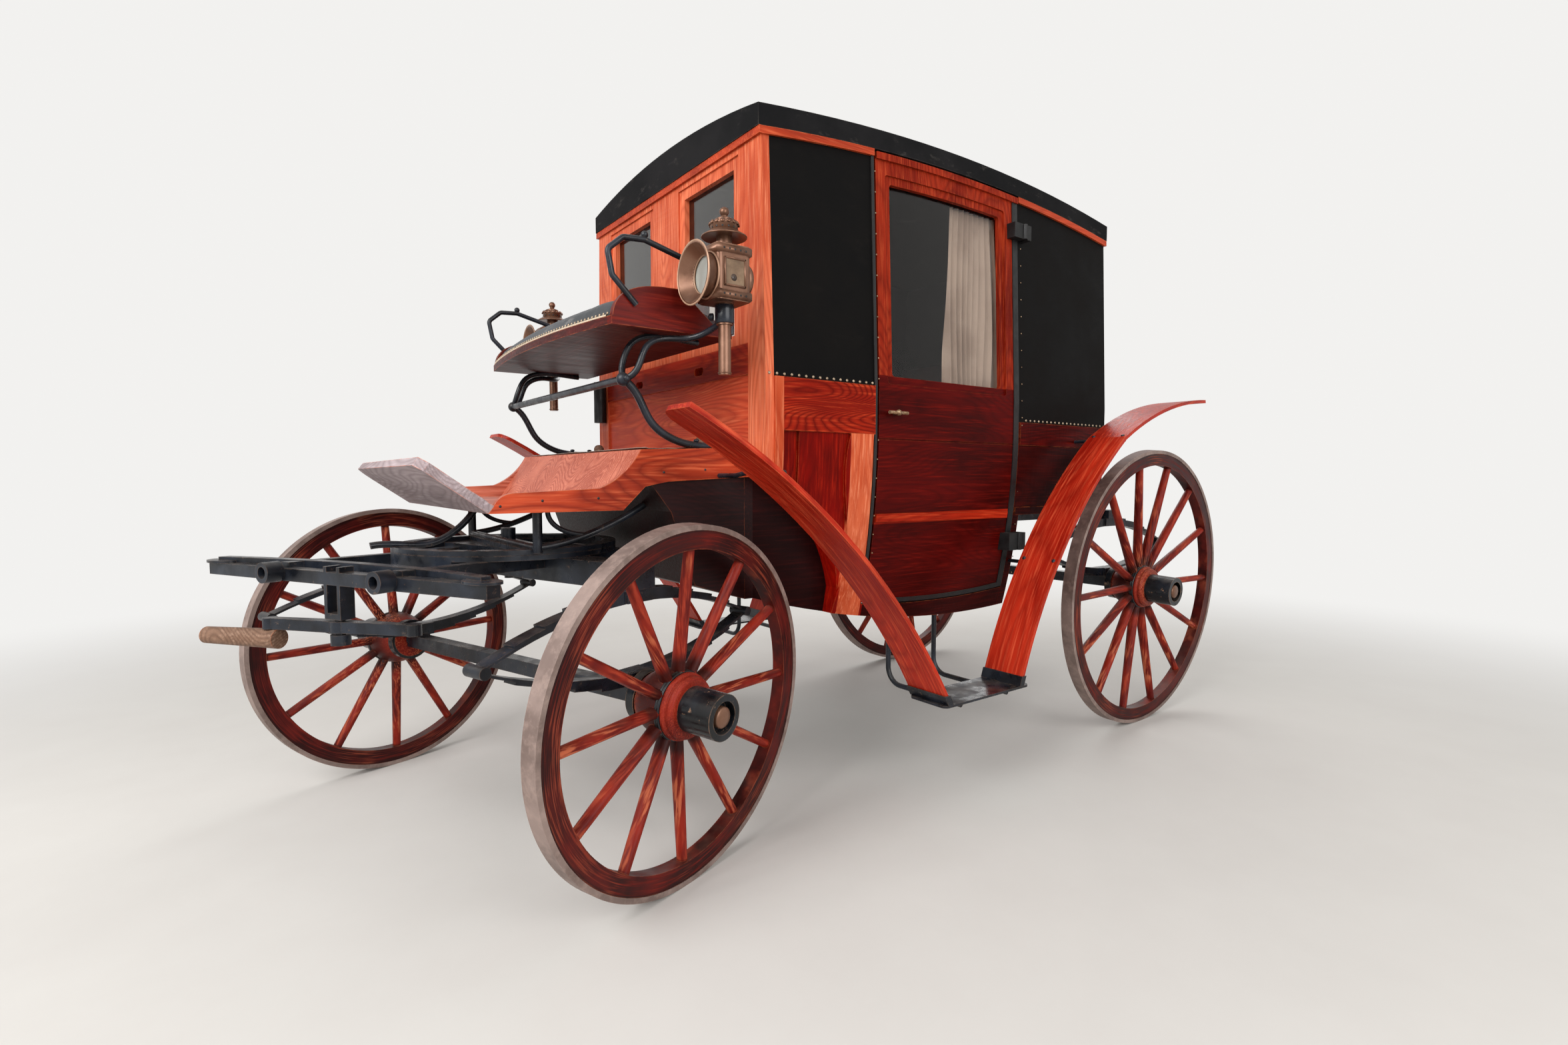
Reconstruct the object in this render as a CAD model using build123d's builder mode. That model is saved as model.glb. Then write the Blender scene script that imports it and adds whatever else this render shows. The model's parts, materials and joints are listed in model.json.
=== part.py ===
from build123d import *
import os
from math import asin, atan2, cos, degrees, hypot, radians, sin, tan

# Closed coupe carriage, in millimetres. While it is drawn, x runs forward from the kingpin, y to the
# left and z up from the ground; at the end everything moves so that x and y are 0 at its middle.

# Wheels
WHEELBASE = 2503
CAMBER = 2.4
FRONT_RADIUS = 480
REAR_RADIUS = 598
FRONT_SPOKES = 12
REAR_SPOKES = 14
TYRE_WIDTH = 46
TYRE_THICKNESS = 14
FELLOE_WIDTH = 42
FELLOE_DEPTH = 50
DISH = 38
SPOKE_ROOT = (22, 15)
SPOKE_TIP = (15, 13)
NAVE_RADIUS = 92
NAVE_BACK = 150
NAVE_BACK_RADIUS = 66
HUB_RADIUS = 60
HUB_END = 132
HUB_WALL = 18
HUB_START = 26
HUB_WEB = 8
HUB_WEB_DEPTH = 30
CAP_NUT_RADIUS = 27
BAND_WIDTH = 28
BAND_THICKNESS = 5
ARM_RADIUS = 20
ARM_CLEARANCE = 0.5
END_PLAY = 3

# Fore-carriage
REST_STEER = 18.3
SPRING_TRACK = 1120
SPRING_TO_WHEEL = 191
TRACK = SPRING_TRACK + 2 * SPRING_TO_WHEEL
SPRING_HALF_LENGTH = 470
SPRING_RISE = 95
SPRING_WIDTH = 44
LEAF = 7
LEAVES = 5
LEAF_STEP = 85
EYE_RADIUS = 15
EYE_LENGTH = 66
CLIP_LENGTH = 92
CLIP_WIDTH = 60
AXLE_BED = 44
AXLE_PAST_SPRING = 30
AXLE_HALF_BED = SPRING_TRACK / 2 + AXLE_PAST_SPRING
AXLE_RISE = 7
PAD = 6
BED_DEPTH = 90
BED_PAST_SPRING = 40
BED_HALF = SPRING_TRACK / 2 + BED_PAST_SPRING
BED_HEIGHT = 72
FUTCHELL_Y = 222
FUTCHELL_WIDTH = 34
FUTCHELL_HEIGHT = 34
FUTCHELL_REAR = -255
RING_RADIUS = 330
RING_WIDTH = 38
RING_THICKNESS = 15
PLATE_GAP = 0.5
KINGPIN_RADIUS = 14
KINGPIN_CLEARANCE = 0.08
BOSS_RADIUS = 22
BOSS_HEIGHT = 42
CROSS_ROD_X = 22
CROSS_ROD_RISE = 12
POST_Y = 350
STAY_RADIUS = 10
SPLINTER_X = 505
SPLINTER_YAW = 9.9
SPLINTER_DROP = 48
SPLINTER_DEPTH = 40
SPLINTER_HALF = 548
SPLINTER_HEIGHT = 34
BRACE_BOW = 26
BRACE_DEPTH = 30
BRACE_HEIGHT = 16
BRACE_LAP = 12
BRACE_HALF = 520
FELLOE_BLOCK_HALF = 160
FELLOE_BLOCK_DROP = 34
SHAFT_EYE_RADIUS = 28
SHAFT_EYE_BORE = 16
SHAFT_EYE_LENGTH = 44
SHAFT_EYE_PLATE = 6
SHAFT_EYE_Z = 8
STEP_PAD_LENGTH = 110
STEP_PAD_WIDTH = 70
STEP_PAD_THICKNESS = 7
FORK_HALF_GAP = 20
FORK_PLATE = 12
FORK_DROP = 90
FORK_DEPTH = 40
FORK_FOOT = 16
EVENER_REACH = 222
EVENER_DEPTH = 36
EVENER_TIP = 22
EVENER_HEIGHT = 30
EVENER_YAW = 12.9
EVENER_BOLT_RADIUS = 12
EVENER_GAP = 5.5
BOLT_HEAD = 14
STUB_RADIUS = 27
STUB_LENGTH = 240
STUB_TAPER = 1
STUB_OVERLAP = 28

# Cab
WALL = 30
CAB_FRONT = -565
CAB_REAR = -2380
EAVE_HALF = 582
EAVE_HALF_Z = 2140
BELT_HALF = 612
BELT_TOP = 1376
BELT_BOTTOM = 1218
TURN_HALF = 592
TURN_Z = 930
SILL_HALF = 512
SILL_Z = 530
EAVE_FRONT_Z = 2089
EAVE_MIDDLE_X = -1450
EAVE_MIDDLE_Z = 2158
EAVE_REAR_Z = 2102
SILL_FRONT_Z = 702
SILL_MIDDLE_X = -1340
SILL_MIDDLE_Z = 566
SILL_REAR_Z = 566
REAR_BOTTOM_Z = 930
ARCH_TOP_Z = 1079
ARCH_MIDDLE = (-790, 937)
ARCH_END = (-887, 715)
ARCH_FOOT = (-860, 560)
LINING = 24
RECESS_HALF = 498
PILLAR_WIDTH = 36
DOOR_FRONT = -1010
DOOR_REAR = -1770
DOOR_BOTTOM_FRONT = 652
DOOR_BOTTOM_MIDDLE = 630
DOOR_BOTTOM_REAR = 644
DOOR_GAP = 6
DOOR_FRONT_GAP = 11
WINDOW_FRONT = -1062
WINDOW_REAR = -1690
WINDOW_BOTTOM = 1388
WINDOW_HEADER = 72
WINDOW_CORNER = 12
SASH_WIDTH = 26
SASH_THICKNESS = 16
SASH_INSET = 7
GLASS = 5
GLASS_INSET = 14
FLOOR_TOP = 668
FLOOR_THICKNESS = 24
TOE_FLOOR_START = -860
TOE_FLOOR_TOP = 762
BENCH_TOP = 1010
CUSHION_HEIGHT = 110
CUSHION_GAP = 4
CUSHION_CORNER = 30
SQUAB_HEIGHT = 560
SQUAB_THICKNESS = 80
ROOF_OVERHANG = 12
VALANCE = 62
CROWN = 56
CORNICE_HEIGHT = 22
CORNICE_DEPTH = 9
PROUD = 8
MOULDING_PROUD = 10
BELT_END = -998
REAR_LEATHER_Z = 1292
REAR_BELT_BOTTOM = 1203
REAR_RAIL_TOP = 960
FRONT_POST_END = -626
PANEL_START = -688
PANEL_RECESS = 9
PILLAR_FRONT = -892
GROOVE_Z = 1205
GROOVE_WIDTH = 5
GROOVE_DEPTH = 4
MOULDING_FRONT_Z = (929, 955)
MOULDING_REAR_Z = (921, 945)
MOULDING_REAR_X = -1722
EDGING_PROUD = 4
EDGING_WIDTH = 14
DOOR_EDGING_WIDTH = 30
DOOR_EDGING_BOTTOM = 16
HINGE_LOW_Z = (795, 862)
HINGE_HIGH_Z = (1985, 2040)
HINGE_LEAF = 62
HINGE_LEAF_DEPTH = 56
HINGE_KNUCKLE = 9
HINGE_FIXED_START = -1783
HINGE_FIXED_END = -1806
FRONT_PANEL_RECESS = 7
FRONT_PANEL_HALF = 520
FRONT_PANEL_TOP = 1388
FRONT_SASH_WIDTH = 34
FRONT_SASH_THICKNESS = 18
FRONT_SASH_INSET = 6
FRONT_LIGHT_INNER = 95
FRONT_LIGHT_OUTER = 470
FRONT_LIGHT_BOTTOM = 1482
FRONT_LIGHT_TOP = 2050
SLOT_Y = 225
SLOT_Z = 1428
SLOT_LENGTH = 60
SLOT_WIDTH = 26
BACK_LIGHT_WIDTH = 360
BACK_LIGHT_HEIGHT = 190
BACK_LIGHT_Z = 1790
HINGE_X = -1767
HINGE_Y = 626
DOOR_SWING = 45
HANDLE_X = -1046
HANDLE_Z = 1292
HANDLE_LENGTH = 84
CURTAIN_FRONT = -1385
CURTAIN_REAR = -1655
CURTAIN_THICKNESS = 16
CURTAIN_LAP = 24

# Boot, seat and lamps
BOOT_HALF = 510
BOOT_WALL = 22
BOOT_TOP = 1168
BOOT_FRONT_X = -216
BOOT_FRONT_Z = 1155
BOOT_SLOPE_FOOT_X = -118
FOOT_FLOOR_Z = 988
FOOT_FLOOR_FRONT = 193
FOOT_FLOOR_THICKNESS = 20
TOE_TOP_X = 356
TOE_TOP_Z = 1106
TOE_THICKNESS = 24
TOE_CORNER = 70
TOE_CHIP = 24
SEAT_HALF = 548
SEAT_SIDE = 20
SEAT_FRONT = -118
SEAT_BACK = -490
SEAT_Z = 1480
SEAT_BOARD = 22
SEAT_SIDE_TOP = 1598
SEAT_CUSHION = 62
SEAT_BOW = 46
ROD_RADIUS = 11
IRON_Y = 494
IRON_JOINT_X = -172
IRON_JOINT_Z = 1345
IRON_FOOT_X = -502
IRON_HEAD_X = -420
LAMP_IRON_Y = 518
ARM_ROD_RADIUS = 9
RAIL_RADIUS = 8
KNOB_RADIUS = 10
LAMP_X = -390
LAMP_Y = 668
LAMP_TUBE_BOTTOM = 1355
LAMP_TUBE_RADIUS = 17
LAMP_SOCKET_BOTTOM = 1488
LAMP_SOCKET_RADIUS = 22
LAMP_BODY_BOTTOM = 1545
LAMP_BODY_TOP = 1690
LAMP_SIDE = 104
LAMP_CHIMNEY_RADIUS = 21
LAMP_BRIM_Z = 1722
LAMP_BRIM_RADIUS = 60
LAMP_CROWN_Z = 1752
LAMP_CROWN_RADIUS = 26
LAMP_TOP = 1799
BELL_Z = 1612
BELL_RADIUS = 82
BELL_THROAT = 50
BELL_LENGTH = 46
LENS_THICKNESS = 8
SOCKET_X = -542
SOCKET_Y = -550
WHIP_RADIUS = 24
WHIP_BOTTOM = 1304
WHIP_TOP = 1470

# Mudguards and steps
GUARD_INNER_Y = 690
GUARD_WIDTH = 160
GUARD_THICKNESS = 14
STEP_Z = 344
STEP_THICKNESS = 8
STEP_FRONT = -1092
STEP_REAR = -1532
STEP_HANGER_X = (-1190, -1430)
HANGER_RADIUS = 9
GUARD_TIP_RADIUS = 55
GUARD_SHOE = 34
GUARD_SHOE_THICKNESS = 4
BRACKET_RADIUS = 7

# Rear carriage
HANGER_Y = 430
HANGER_WIDTH = 44
HANGER_FRONT = -1850

SKY = 3000
ACROSS = 1500

finished = {}


def hand_in(piece, label):
    piece.label = label
    finished[label] = piece


def mirrored(piece):
    with BuildPart() as other_side:
        mirror(piece, about=Plane.XZ)
    return other_side.part


# Cab section seen from the front: tumblehome above the belt, turn-under below it
def cab_section(inset, front_x, rear_x):
    with BuildPart() as block:
        with BuildSketch(Plane.YZ.offset(rear_x)):
            with BuildLine():
                upper = Line((EAVE_HALF - inset, EAVE_HALF_Z + VALANCE), (BELT_HALF - inset, BELT_TOP))
                belt = Line(upper @ 1, (BELT_HALF - inset, BELT_BOTTOM))
                turn = ThreePointArc(belt @ 1, (TURN_HALF - inset, TURN_Z), (SILL_HALF - inset, SILL_Z))
                Polyline(turn @ 1, (0, SILL_Z), (0, EAVE_HALF_Z + VALANCE), upper @ 0)
            make_face()
            mirror(about=Plane.YZ)
        extrude(amount=front_x - rear_x)
    return block.part


# Everything on the left side within an outline seen from the side
def left_region(*outline):
    with BuildPart() as region:
        with BuildSketch(Plane.XZ):
            with BuildLine():
                Polyline(*outline, close=True)
            make_face()
        extrude(amount=-ACROSS)
    return region.part


def upright_region(front_x, rear_x, low_z, high_z):
    return left_region((front_x, low_z), (rear_x, low_z), (rear_x, high_z), (front_x, high_z))


# Layer of the cab's skin within a region, from depth inside the surface to proud outside it
def skin(region, proud, depth):
    outside = cab_section(-proud, CAB_FRONT, CAB_REAR)
    inside = cab_section(depth, CAB_FRONT, CAB_REAR)
    with BuildPart() as layer:
        add(outside)
        add(inside, mode=Mode.SUBTRACT)
        add(region, mode=Mode.INTERSECT)
    return layer.part


# Space above the arched eave, or above the same arch lowered by drop
def above_eave(drop):
    ends = ROOF_OVERHANG * 4
    with BuildPart() as space:
        with BuildSketch(Plane.XZ):
            with BuildLine():
                arch = ThreePointArc(
                    (CAB_FRONT, EAVE_FRONT_Z - drop),
                    (EAVE_MIDDLE_X, EAVE_MIDDLE_Z - drop),
                    (CAB_REAR, EAVE_REAR_Z - drop),
                )
                Polyline(
                    arch @ 1,
                    (CAB_REAR - ends, EAVE_REAR_Z - drop),
                    (CAB_REAR - ends, SKY),
                    (CAB_FRONT + ends, SKY),
                    (CAB_FRONT + ends, EAVE_FRONT_Z - drop),
                    arch @ 0,
                )
            make_face()
        extrude(amount=ACROSS, both=True)
    return space.part


FRONT_WALL_BACK = CAB_FRONT - WALL
REAR_WALL_FRONT = CAB_REAR + WALL
PILLAR_REAR = DOOR_REAR - PILLAR_WIDTH

sky = above_eave(0)
outer_cab = cab_section(0, FRONT_WALL_BACK, REAR_WALL_FRONT)
inner_cab = cab_section(WALL, FRONT_WALL_BACK, REAR_WALL_FRONT)

with BuildPart() as cab_shell:
    add(outer_cab)
    add(inner_cab, mode=Mode.SUBTRACT)


def door_outline(front_x, rear_x, drop):
    with BuildPart() as region:
        with BuildSketch(Plane.XZ):
            with BuildLine():
                bottom = ThreePointArc(
                    (front_x, DOOR_BOTTOM_FRONT - drop),
                    ((front_x + rear_x) / 2, DOOR_BOTTOM_MIDDLE - drop),
                    (rear_x, DOOR_BOTTOM_REAR - drop),
                )
                Polyline(bottom @ 1, (rear_x, SKY), (front_x, SKY), bottom @ 0)
            make_face()
        extrude(amount=-ACROSS)
    return region.part


door_hole = door_outline(DOOR_FRONT, DOOR_REAR, DOOR_GAP)


# Recess beside the toes that lets the steered front wheel in, or the same grown by its lining
def wheel_recess(lining):
    with BuildPart() as space:
        with BuildSketch(Plane.XZ):
            with BuildLine():
                arch = ThreePointArc(
                    (FRONT_WALL_BACK, ARCH_TOP_Z + lining),
                    (ARCH_MIDDLE[0] - lining, ARCH_MIDDLE[1] + lining),
                    (ARCH_END[0] - lining, ARCH_END[1]),
                )
                Polyline(
                    arch @ 1,
                    (ARCH_FOOT[0] - lining, ARCH_FOOT[1]),
                    (CAB_FRONT, ARCH_FOOT[1]),
                    (CAB_FRONT, ARCH_TOP_Z + lining),
                    arch @ 0,
                )
            make_face()
        extrude(amount=-ACROSS)
        Box(2 * ACROSS, 2 * (RECESS_HALF - lining), 2 * SKY, mode=Mode.SUBTRACT)
    return space.part


recess = wheel_recess(0)
recess_lined = wheel_recess(LINING)

with BuildPart() as lower_outline:
    with BuildSketch(Plane.XZ):
        with BuildLine():
            sill = ThreePointArc(
                (FRONT_WALL_BACK, SILL_FRONT_Z), (SILL_MIDDLE_X, SILL_MIDDLE_Z), (PILLAR_REAR, SILL_REAR_Z)
            )
            Polyline(
                sill @ 1,
                (PILLAR_REAR, REAR_BOTTOM_Z),
                (REAR_WALL_FRONT, REAR_BOTTOM_Z),
                (REAR_WALL_FRONT, REAR_LEATHER_Z),
                (EAVE_MIDDLE_X, REAR_LEATHER_Z),
                (EAVE_MIDDLE_X, BELT_TOP),
                (FRONT_WALL_BACK, BELT_TOP),
                sill @ 0,
            )
        make_face()
    extrude(amount=-ACROSS)

# Round timber beside the door, swept forward at its foot like a ram's horn
with BuildPart() as pillar_outline:
    with BuildSketch(Plane.XZ):
        with BuildLine():
            front = Spline((PILLAR_FRONT, BELT_BOTTOM), (-897, 900), (-903, 780), (-882, 692), (-846, 636))
            foot = Line(front @ 1, (-872, 596))
            Spline(foot @ 1, (-918, 690), (-950, 790), (-974, 950), (-990, BELT_BOTTOM))
            Line((-990, BELT_BOTTOM), (PILLAR_FRONT, BELT_BOTTOM))
        make_face()
    extrude(amount=-ACROSS)

front_belt = skin(upright_region(FRONT_WALL_BACK, BELT_END, BELT_BOTTOM, BELT_TOP), PROUD, WALL)
front_post = skin(upright_region(FRONT_WALL_BACK, FRONT_POST_END, SILL_FRONT_Z, BELT_BOTTOM), PROUD, WALL)
rear_belt = skin(upright_region(DOOR_REAR - DOOR_GAP, REAR_WALL_FRONT, REAR_BELT_BOTTOM, REAR_LEATHER_Z), PROUD / 2, WALL)
rear_rail = skin(upright_region(DOOR_REAR - DOOR_GAP, REAR_WALL_FRONT, REAR_BOTTOM_Z, REAR_RAIL_TOP), PROUD / 2, WALL)
ram_pillar = skin(pillar_outline.part, MOULDING_PROUD, WALL)
panel_dip = skin(upright_region(FRONT_POST_END, PANEL_START, SILL_FRONT_Z, BELT_BOTTOM), PROUD, PANEL_RECESS)

# Wooden lower side: belt, panels, the recess wall and the sill that dips under the door
with BuildPart() as side_lower_left:
    add(recess_lined)
    add(outer_cab, mode=Mode.INTERSECT)
    add(cab_shell.part)
    add(panel_dip, mode=Mode.SUBTRACT)
    for raised in (front_belt, front_post, rear_belt, rear_rail, ram_pillar):
        add(raised)
    add(recess, mode=Mode.SUBTRACT)
    add(lower_outline.part, mode=Mode.INTERSECT)
    add(door_hole, mode=Mode.SUBTRACT)
side_lower_right = mirrored(side_lower_left.part)
hand_in(side_lower_left.part, "side_lower_left")
hand_in(side_lower_right, "side_lower_right")

# Leather-covered quarters above the belt, before and behind the door; the rear one reaches lower
upper_outline = left_region(
    (FRONT_WALL_BACK, BELT_TOP),
    (EAVE_MIDDLE_X, BELT_TOP),
    (EAVE_MIDDLE_X, REAR_LEATHER_Z),
    (REAR_WALL_FRONT, REAR_LEATHER_Z),
    (REAR_WALL_FRONT, SKY),
    (FRONT_WALL_BACK, SKY),
)
with BuildPart() as side_upper_left:
    add(cab_shell.part)
    add(upper_outline, mode=Mode.INTERSECT)
    add(door_hole, mode=Mode.SUBTRACT)
    add(sky, mode=Mode.SUBTRACT)
hand_in(side_upper_left.part, "side_upper_left")
hand_in(mirrored(side_upper_left.part), "side_upper_right")

# Dark edging on the pillar before each door, and the fixed halves of the hinges behind it
edging_left = skin(upright_region(BELT_END, BELT_END - EDGING_WIDTH, SILL_FRONT_Z, SKY), EDGING_PROUD, 0)
edging_top = above_eave(CORNICE_HEIGHT)
hinge_heights = (HINGE_LOW_Z, HINGE_HIGH_Z)
with BuildPart() as edging:
    add(edging_left)
    add(door_hole, mode=Mode.SUBTRACT)
    with BuildSketch(Plane.XZ.offset(-HINGE_Y)):
        for low_z, high_z in hinge_heights:
            with Locations(((HINGE_FIXED_START + HINGE_FIXED_END) / 2, (low_z + high_z) / 2)):
                Rectangle(HINGE_FIXED_START - HINGE_FIXED_END, high_z - low_z)
    extrude(amount=HINGE_LEAF_DEPTH)
    add(outer_cab, mode=Mode.SUBTRACT)
    add(side_lower_left.part, mode=Mode.SUBTRACT)
    add(edging_top, mode=Mode.SUBTRACT)
    mirror(about=Plane.XZ)
hand_in(edging.part, "edging")

# Front wall with two lights, two vent slots and a sunk lower panel
front_light_width = FRONT_LIGHT_OUTER - FRONT_LIGHT_INNER
front_light_height = FRONT_LIGHT_TOP - FRONT_LIGHT_BOTTOM
front_light_y = (FRONT_LIGHT_OUTER + FRONT_LIGHT_INNER) / 2
front_light_z = (FRONT_LIGHT_TOP + FRONT_LIGHT_BOTTOM) / 2
front_section = cab_section(0, CAB_FRONT, FRONT_WALL_BACK)
with BuildPart() as front_wall:
    add(front_section)
    add(sky, mode=Mode.SUBTRACT)
    with BuildSketch(Plane.YZ.offset(FRONT_WALL_BACK)):
        with Locations((0, SILL_FRONT_Z)):
            Rectangle(2 * ACROSS, SILL_FRONT_Z, align=(Align.CENTER, Align.MAX))
        with Locations((front_light_y, front_light_z), (-front_light_y, front_light_z)):
            Rectangle(front_light_width, front_light_height)
        with Locations((SLOT_Y, SLOT_Z), (-SLOT_Y, SLOT_Z)):
            SlotOverall(SLOT_LENGTH, SLOT_WIDTH)
        with Locations((RECESS_HALF, ARCH_TOP_Z)):
            Rectangle(RECESS_HALF, ARCH_TOP_Z, align=(Align.MIN, Align.MAX))
        with Locations((-RECESS_HALF, ARCH_TOP_Z)):
            Rectangle(RECESS_HALF, ARCH_TOP_Z, align=(Align.MAX, Align.MAX))
    extrude(amount=WALL, mode=Mode.SUBTRACT)
    with BuildSketch(Plane.YZ.offset(CAB_FRONT)):
        with Locations((0, FRONT_PANEL_TOP)):
            Rectangle(2 * FRONT_PANEL_HALF, FRONT_PANEL_TOP - BOOT_TOP, align=(Align.CENTER, Align.MAX))
    extrude(amount=-FRONT_PANEL_RECESS, mode=Mode.SUBTRACT)
hand_in(front_wall.part, "front_wall")

with BuildPart() as front_sash:
    with BuildSketch(Plane.YZ.offset(CAB_FRONT - FRONT_SASH_INSET - FRONT_SASH_THICKNESS)):
        for side in (1, -1):
            with Locations((side * front_light_y, front_light_z)):
                Rectangle(front_light_width, front_light_height)
        for side in (1, -1):
            with Locations((side * front_light_y, front_light_z)):
                Rectangle(
                    front_light_width - 2 * FRONT_SASH_WIDTH, front_light_height - 2 * FRONT_SASH_WIDTH, mode=Mode.SUBTRACT
                )
    extrude(amount=FRONT_SASH_THICKNESS)
hand_in(front_sash.part, "front_sash")

# Back wall: wood below the belt, leather with a small light above it
rear_section = cab_section(0, REAR_WALL_FRONT, CAB_REAR)
with BuildPart() as back_lower:
    add(rear_section)
    with BuildSketch(Plane.YZ.offset(CAB_REAR)):
        with Locations((0, REAR_BOTTOM_Z)):
            Rectangle(2 * ACROSS, REAR_BOTTOM_Z, align=(Align.CENTER, Align.MAX))
        with Locations((0, REAR_LEATHER_Z)):
            Rectangle(2 * ACROSS, SKY, align=(Align.CENTER, Align.MIN))
    extrude(amount=WALL, mode=Mode.SUBTRACT)
hand_in(back_lower.part, "back_lower")

with BuildPart() as back_upper:
    add(rear_section)
    add(sky, mode=Mode.SUBTRACT)
    with BuildSketch(Plane.YZ.offset(CAB_REAR)):
        with Locations((0, REAR_LEATHER_Z)):
            Rectangle(2 * ACROSS, SKY, align=(Align.CENTER, Align.MAX))
        with Locations((0, BACK_LIGHT_Z)):
            Rectangle(BACK_LIGHT_WIDTH, BACK_LIGHT_HEIGHT)
    extrude(amount=WALL, mode=Mode.SUBTRACT)
hand_in(back_upper.part, "back_upper")

with BuildPart() as fixed_glass:
    with BuildSketch(Plane.YZ.offset(CAB_FRONT - FRONT_SASH_INSET - FRONT_SASH_THICKNESS - GLASS)):
        with Locations((front_light_y, front_light_z), (-front_light_y, front_light_z)):
            Rectangle(front_light_width, front_light_height)
    extrude(amount=GLASS)
    with BuildSketch(Plane.YZ.offset(CAB_REAR + GLASS_INSET)):
        with Locations((0, BACK_LIGHT_Z)):
            Rectangle(BACK_LIGHT_WIDTH, BACK_LIGHT_HEIGHT)
    extrude(amount=GLASS)
hand_in(fixed_glass.part, "fixed_glass")

# Floor, heel board and bench in one trough
recess_lined_right = mirrored(recess_lined)
with BuildPart() as floor_pan:
    add(inner_cab)
    with BuildSketch(Plane.XZ):
        with BuildLine():
            Polyline(
                (FRONT_WALL_BACK, TOE_FLOOR_TOP - FLOOR_THICKNESS),
                (FRONT_WALL_BACK, TOE_FLOOR_TOP),
                (TOE_FLOOR_START, FLOOR_TOP),
                (PILLAR_REAR + FLOOR_THICKNESS, FLOOR_TOP),
                (PILLAR_REAR + FLOOR_THICKNESS, BENCH_TOP),
                (REAR_WALL_FRONT, BENCH_TOP),
                (REAR_WALL_FRONT, REAR_BOTTOM_Z),
                (PILLAR_REAR, REAR_BOTTOM_Z),
                (PILLAR_REAR, FLOOR_TOP - FLOOR_THICKNESS),
                (TOE_FLOOR_START, FLOOR_TOP - FLOOR_THICKNESS),
                close=True,
            )
        make_face()
    extrude(amount=ACROSS, both=True, mode=Mode.INTERSECT)
    add(recess_lined, mode=Mode.SUBTRACT)
    add(recess_lined_right, mode=Mode.SUBTRACT)
hand_in(floor_pan.part, "floor_pan")

# Bench cushion and squab between the sides
cushion_half = TURN_HALF - WALL - CUSHION_GAP * 2
cushion_front = PILLAR_REAR + FLOOR_THICKNESS
with BuildPart() as bench_cushion:
    with BuildSketch(Plane.XY.offset(BENCH_TOP)):
        with Locations(((cushion_front + REAR_WALL_FRONT) / 2, 0)):
            Rectangle(cushion_front - REAR_WALL_FRONT, 2 * cushion_half)
    extrude(amount=CUSHION_HEIGHT)
    fillet(bench_cushion.edges().filter_by(Axis.Z), radius=CUSHION_CORNER)
with BuildPart() as bench_back:
    with BuildSketch(Plane.XY.offset(BENCH_TOP + CUSHION_HEIGHT)):
        with Locations((REAR_WALL_FRONT + SQUAB_THICKNESS / 2, 0)):
            Rectangle(SQUAB_THICKNESS, 2 * cushion_half - CUSHION_CORNER)
    extrude(amount=SQUAB_HEIGHT)
    fillet(bench_back.faces().sort_by(Axis.X)[-1].edges(), radius=CUSHION_CORNER / 2)

with BuildPart() as bench_cushions:
    add(bench_cushion.part)
    add(bench_back.part)
hand_in(bench_cushions.part, "bench_cushion")

# Leather roof: crowned across and arched along, with a valance standing over the walls
with BuildPart() as roof:
    roof_sections = (
        # x, eave z
        (CAB_FRONT + ROOF_OVERHANG, EAVE_FRONT_Z),
        (EAVE_MIDDLE_X, EAVE_MIDDLE_Z),
        (CAB_REAR - ROOF_OVERHANG, EAVE_REAR_Z),
    )
    for section_x, section_z in roof_sections:
        half = EAVE_HALF + ROOF_OVERHANG
        with BuildSketch(Plane.YZ.offset(section_x)):
            with BuildLine():
                crown = ThreePointArc(
                    (-half, section_z + VALANCE), (0, section_z + VALANCE + CROWN), (half, section_z + VALANCE)
                )
                Polyline(crown @ 1, (half, section_z - VALANCE), (-half, section_z - VALANCE), crown @ 0)
            make_face()
    loft()
    add(sky, mode=Mode.INTERSECT)
hand_in(roof.part, "roof")

# Cornice strip under the valance, left out over the doors, which carry their own length of it
cornice_space = above_eave(CORNICE_HEIGHT)
cornice_outside = cab_section(-CORNICE_DEPTH, CAB_FRONT + CORNICE_DEPTH, CAB_REAR - CORNICE_DEPTH)
cornice_inside = cab_section(0, CAB_FRONT, CAB_REAR)
door_hole_right = mirrored(door_hole)
with BuildPart() as cornice:
    add(cornice_outside)
    add(cornice_inside, mode=Mode.SUBTRACT)
    add(cornice_space, mode=Mode.INTERSECT)
    add(sky, mode=Mode.SUBTRACT)
    add(door_hole, mode=Mode.SUBTRACT)
    add(door_hole_right, mode=Mode.SUBTRACT)
hand_in(cornice.part, "cornice")


# Window outline in the door, smaller by inset all round
def window_outline(inset):
    above = above_eave(WINDOW_HEADER + inset)
    with BuildPart() as space:
        with BuildSketch(Plane.XZ):
            with BuildLine():
                Polyline(
                    (WINDOW_FRONT - inset, WINDOW_BOTTOM + inset),
                    (WINDOW_REAR + inset, WINDOW_BOTTOM + inset),
                    (WINDOW_REAR + inset, SKY),
                    (WINDOW_FRONT - inset, SKY),
                    close=True,
                )
            make_face()
        extrude(amount=-ACROSS)
        add(above, mode=Mode.SUBTRACT)
        fillet(space.edges().filter_by(Axis.Y), radius=WINDOW_CORNER)
    return space.part


window_hole = window_outline(0)
sash_hole = window_outline(SASH_WIDTH)

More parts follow.
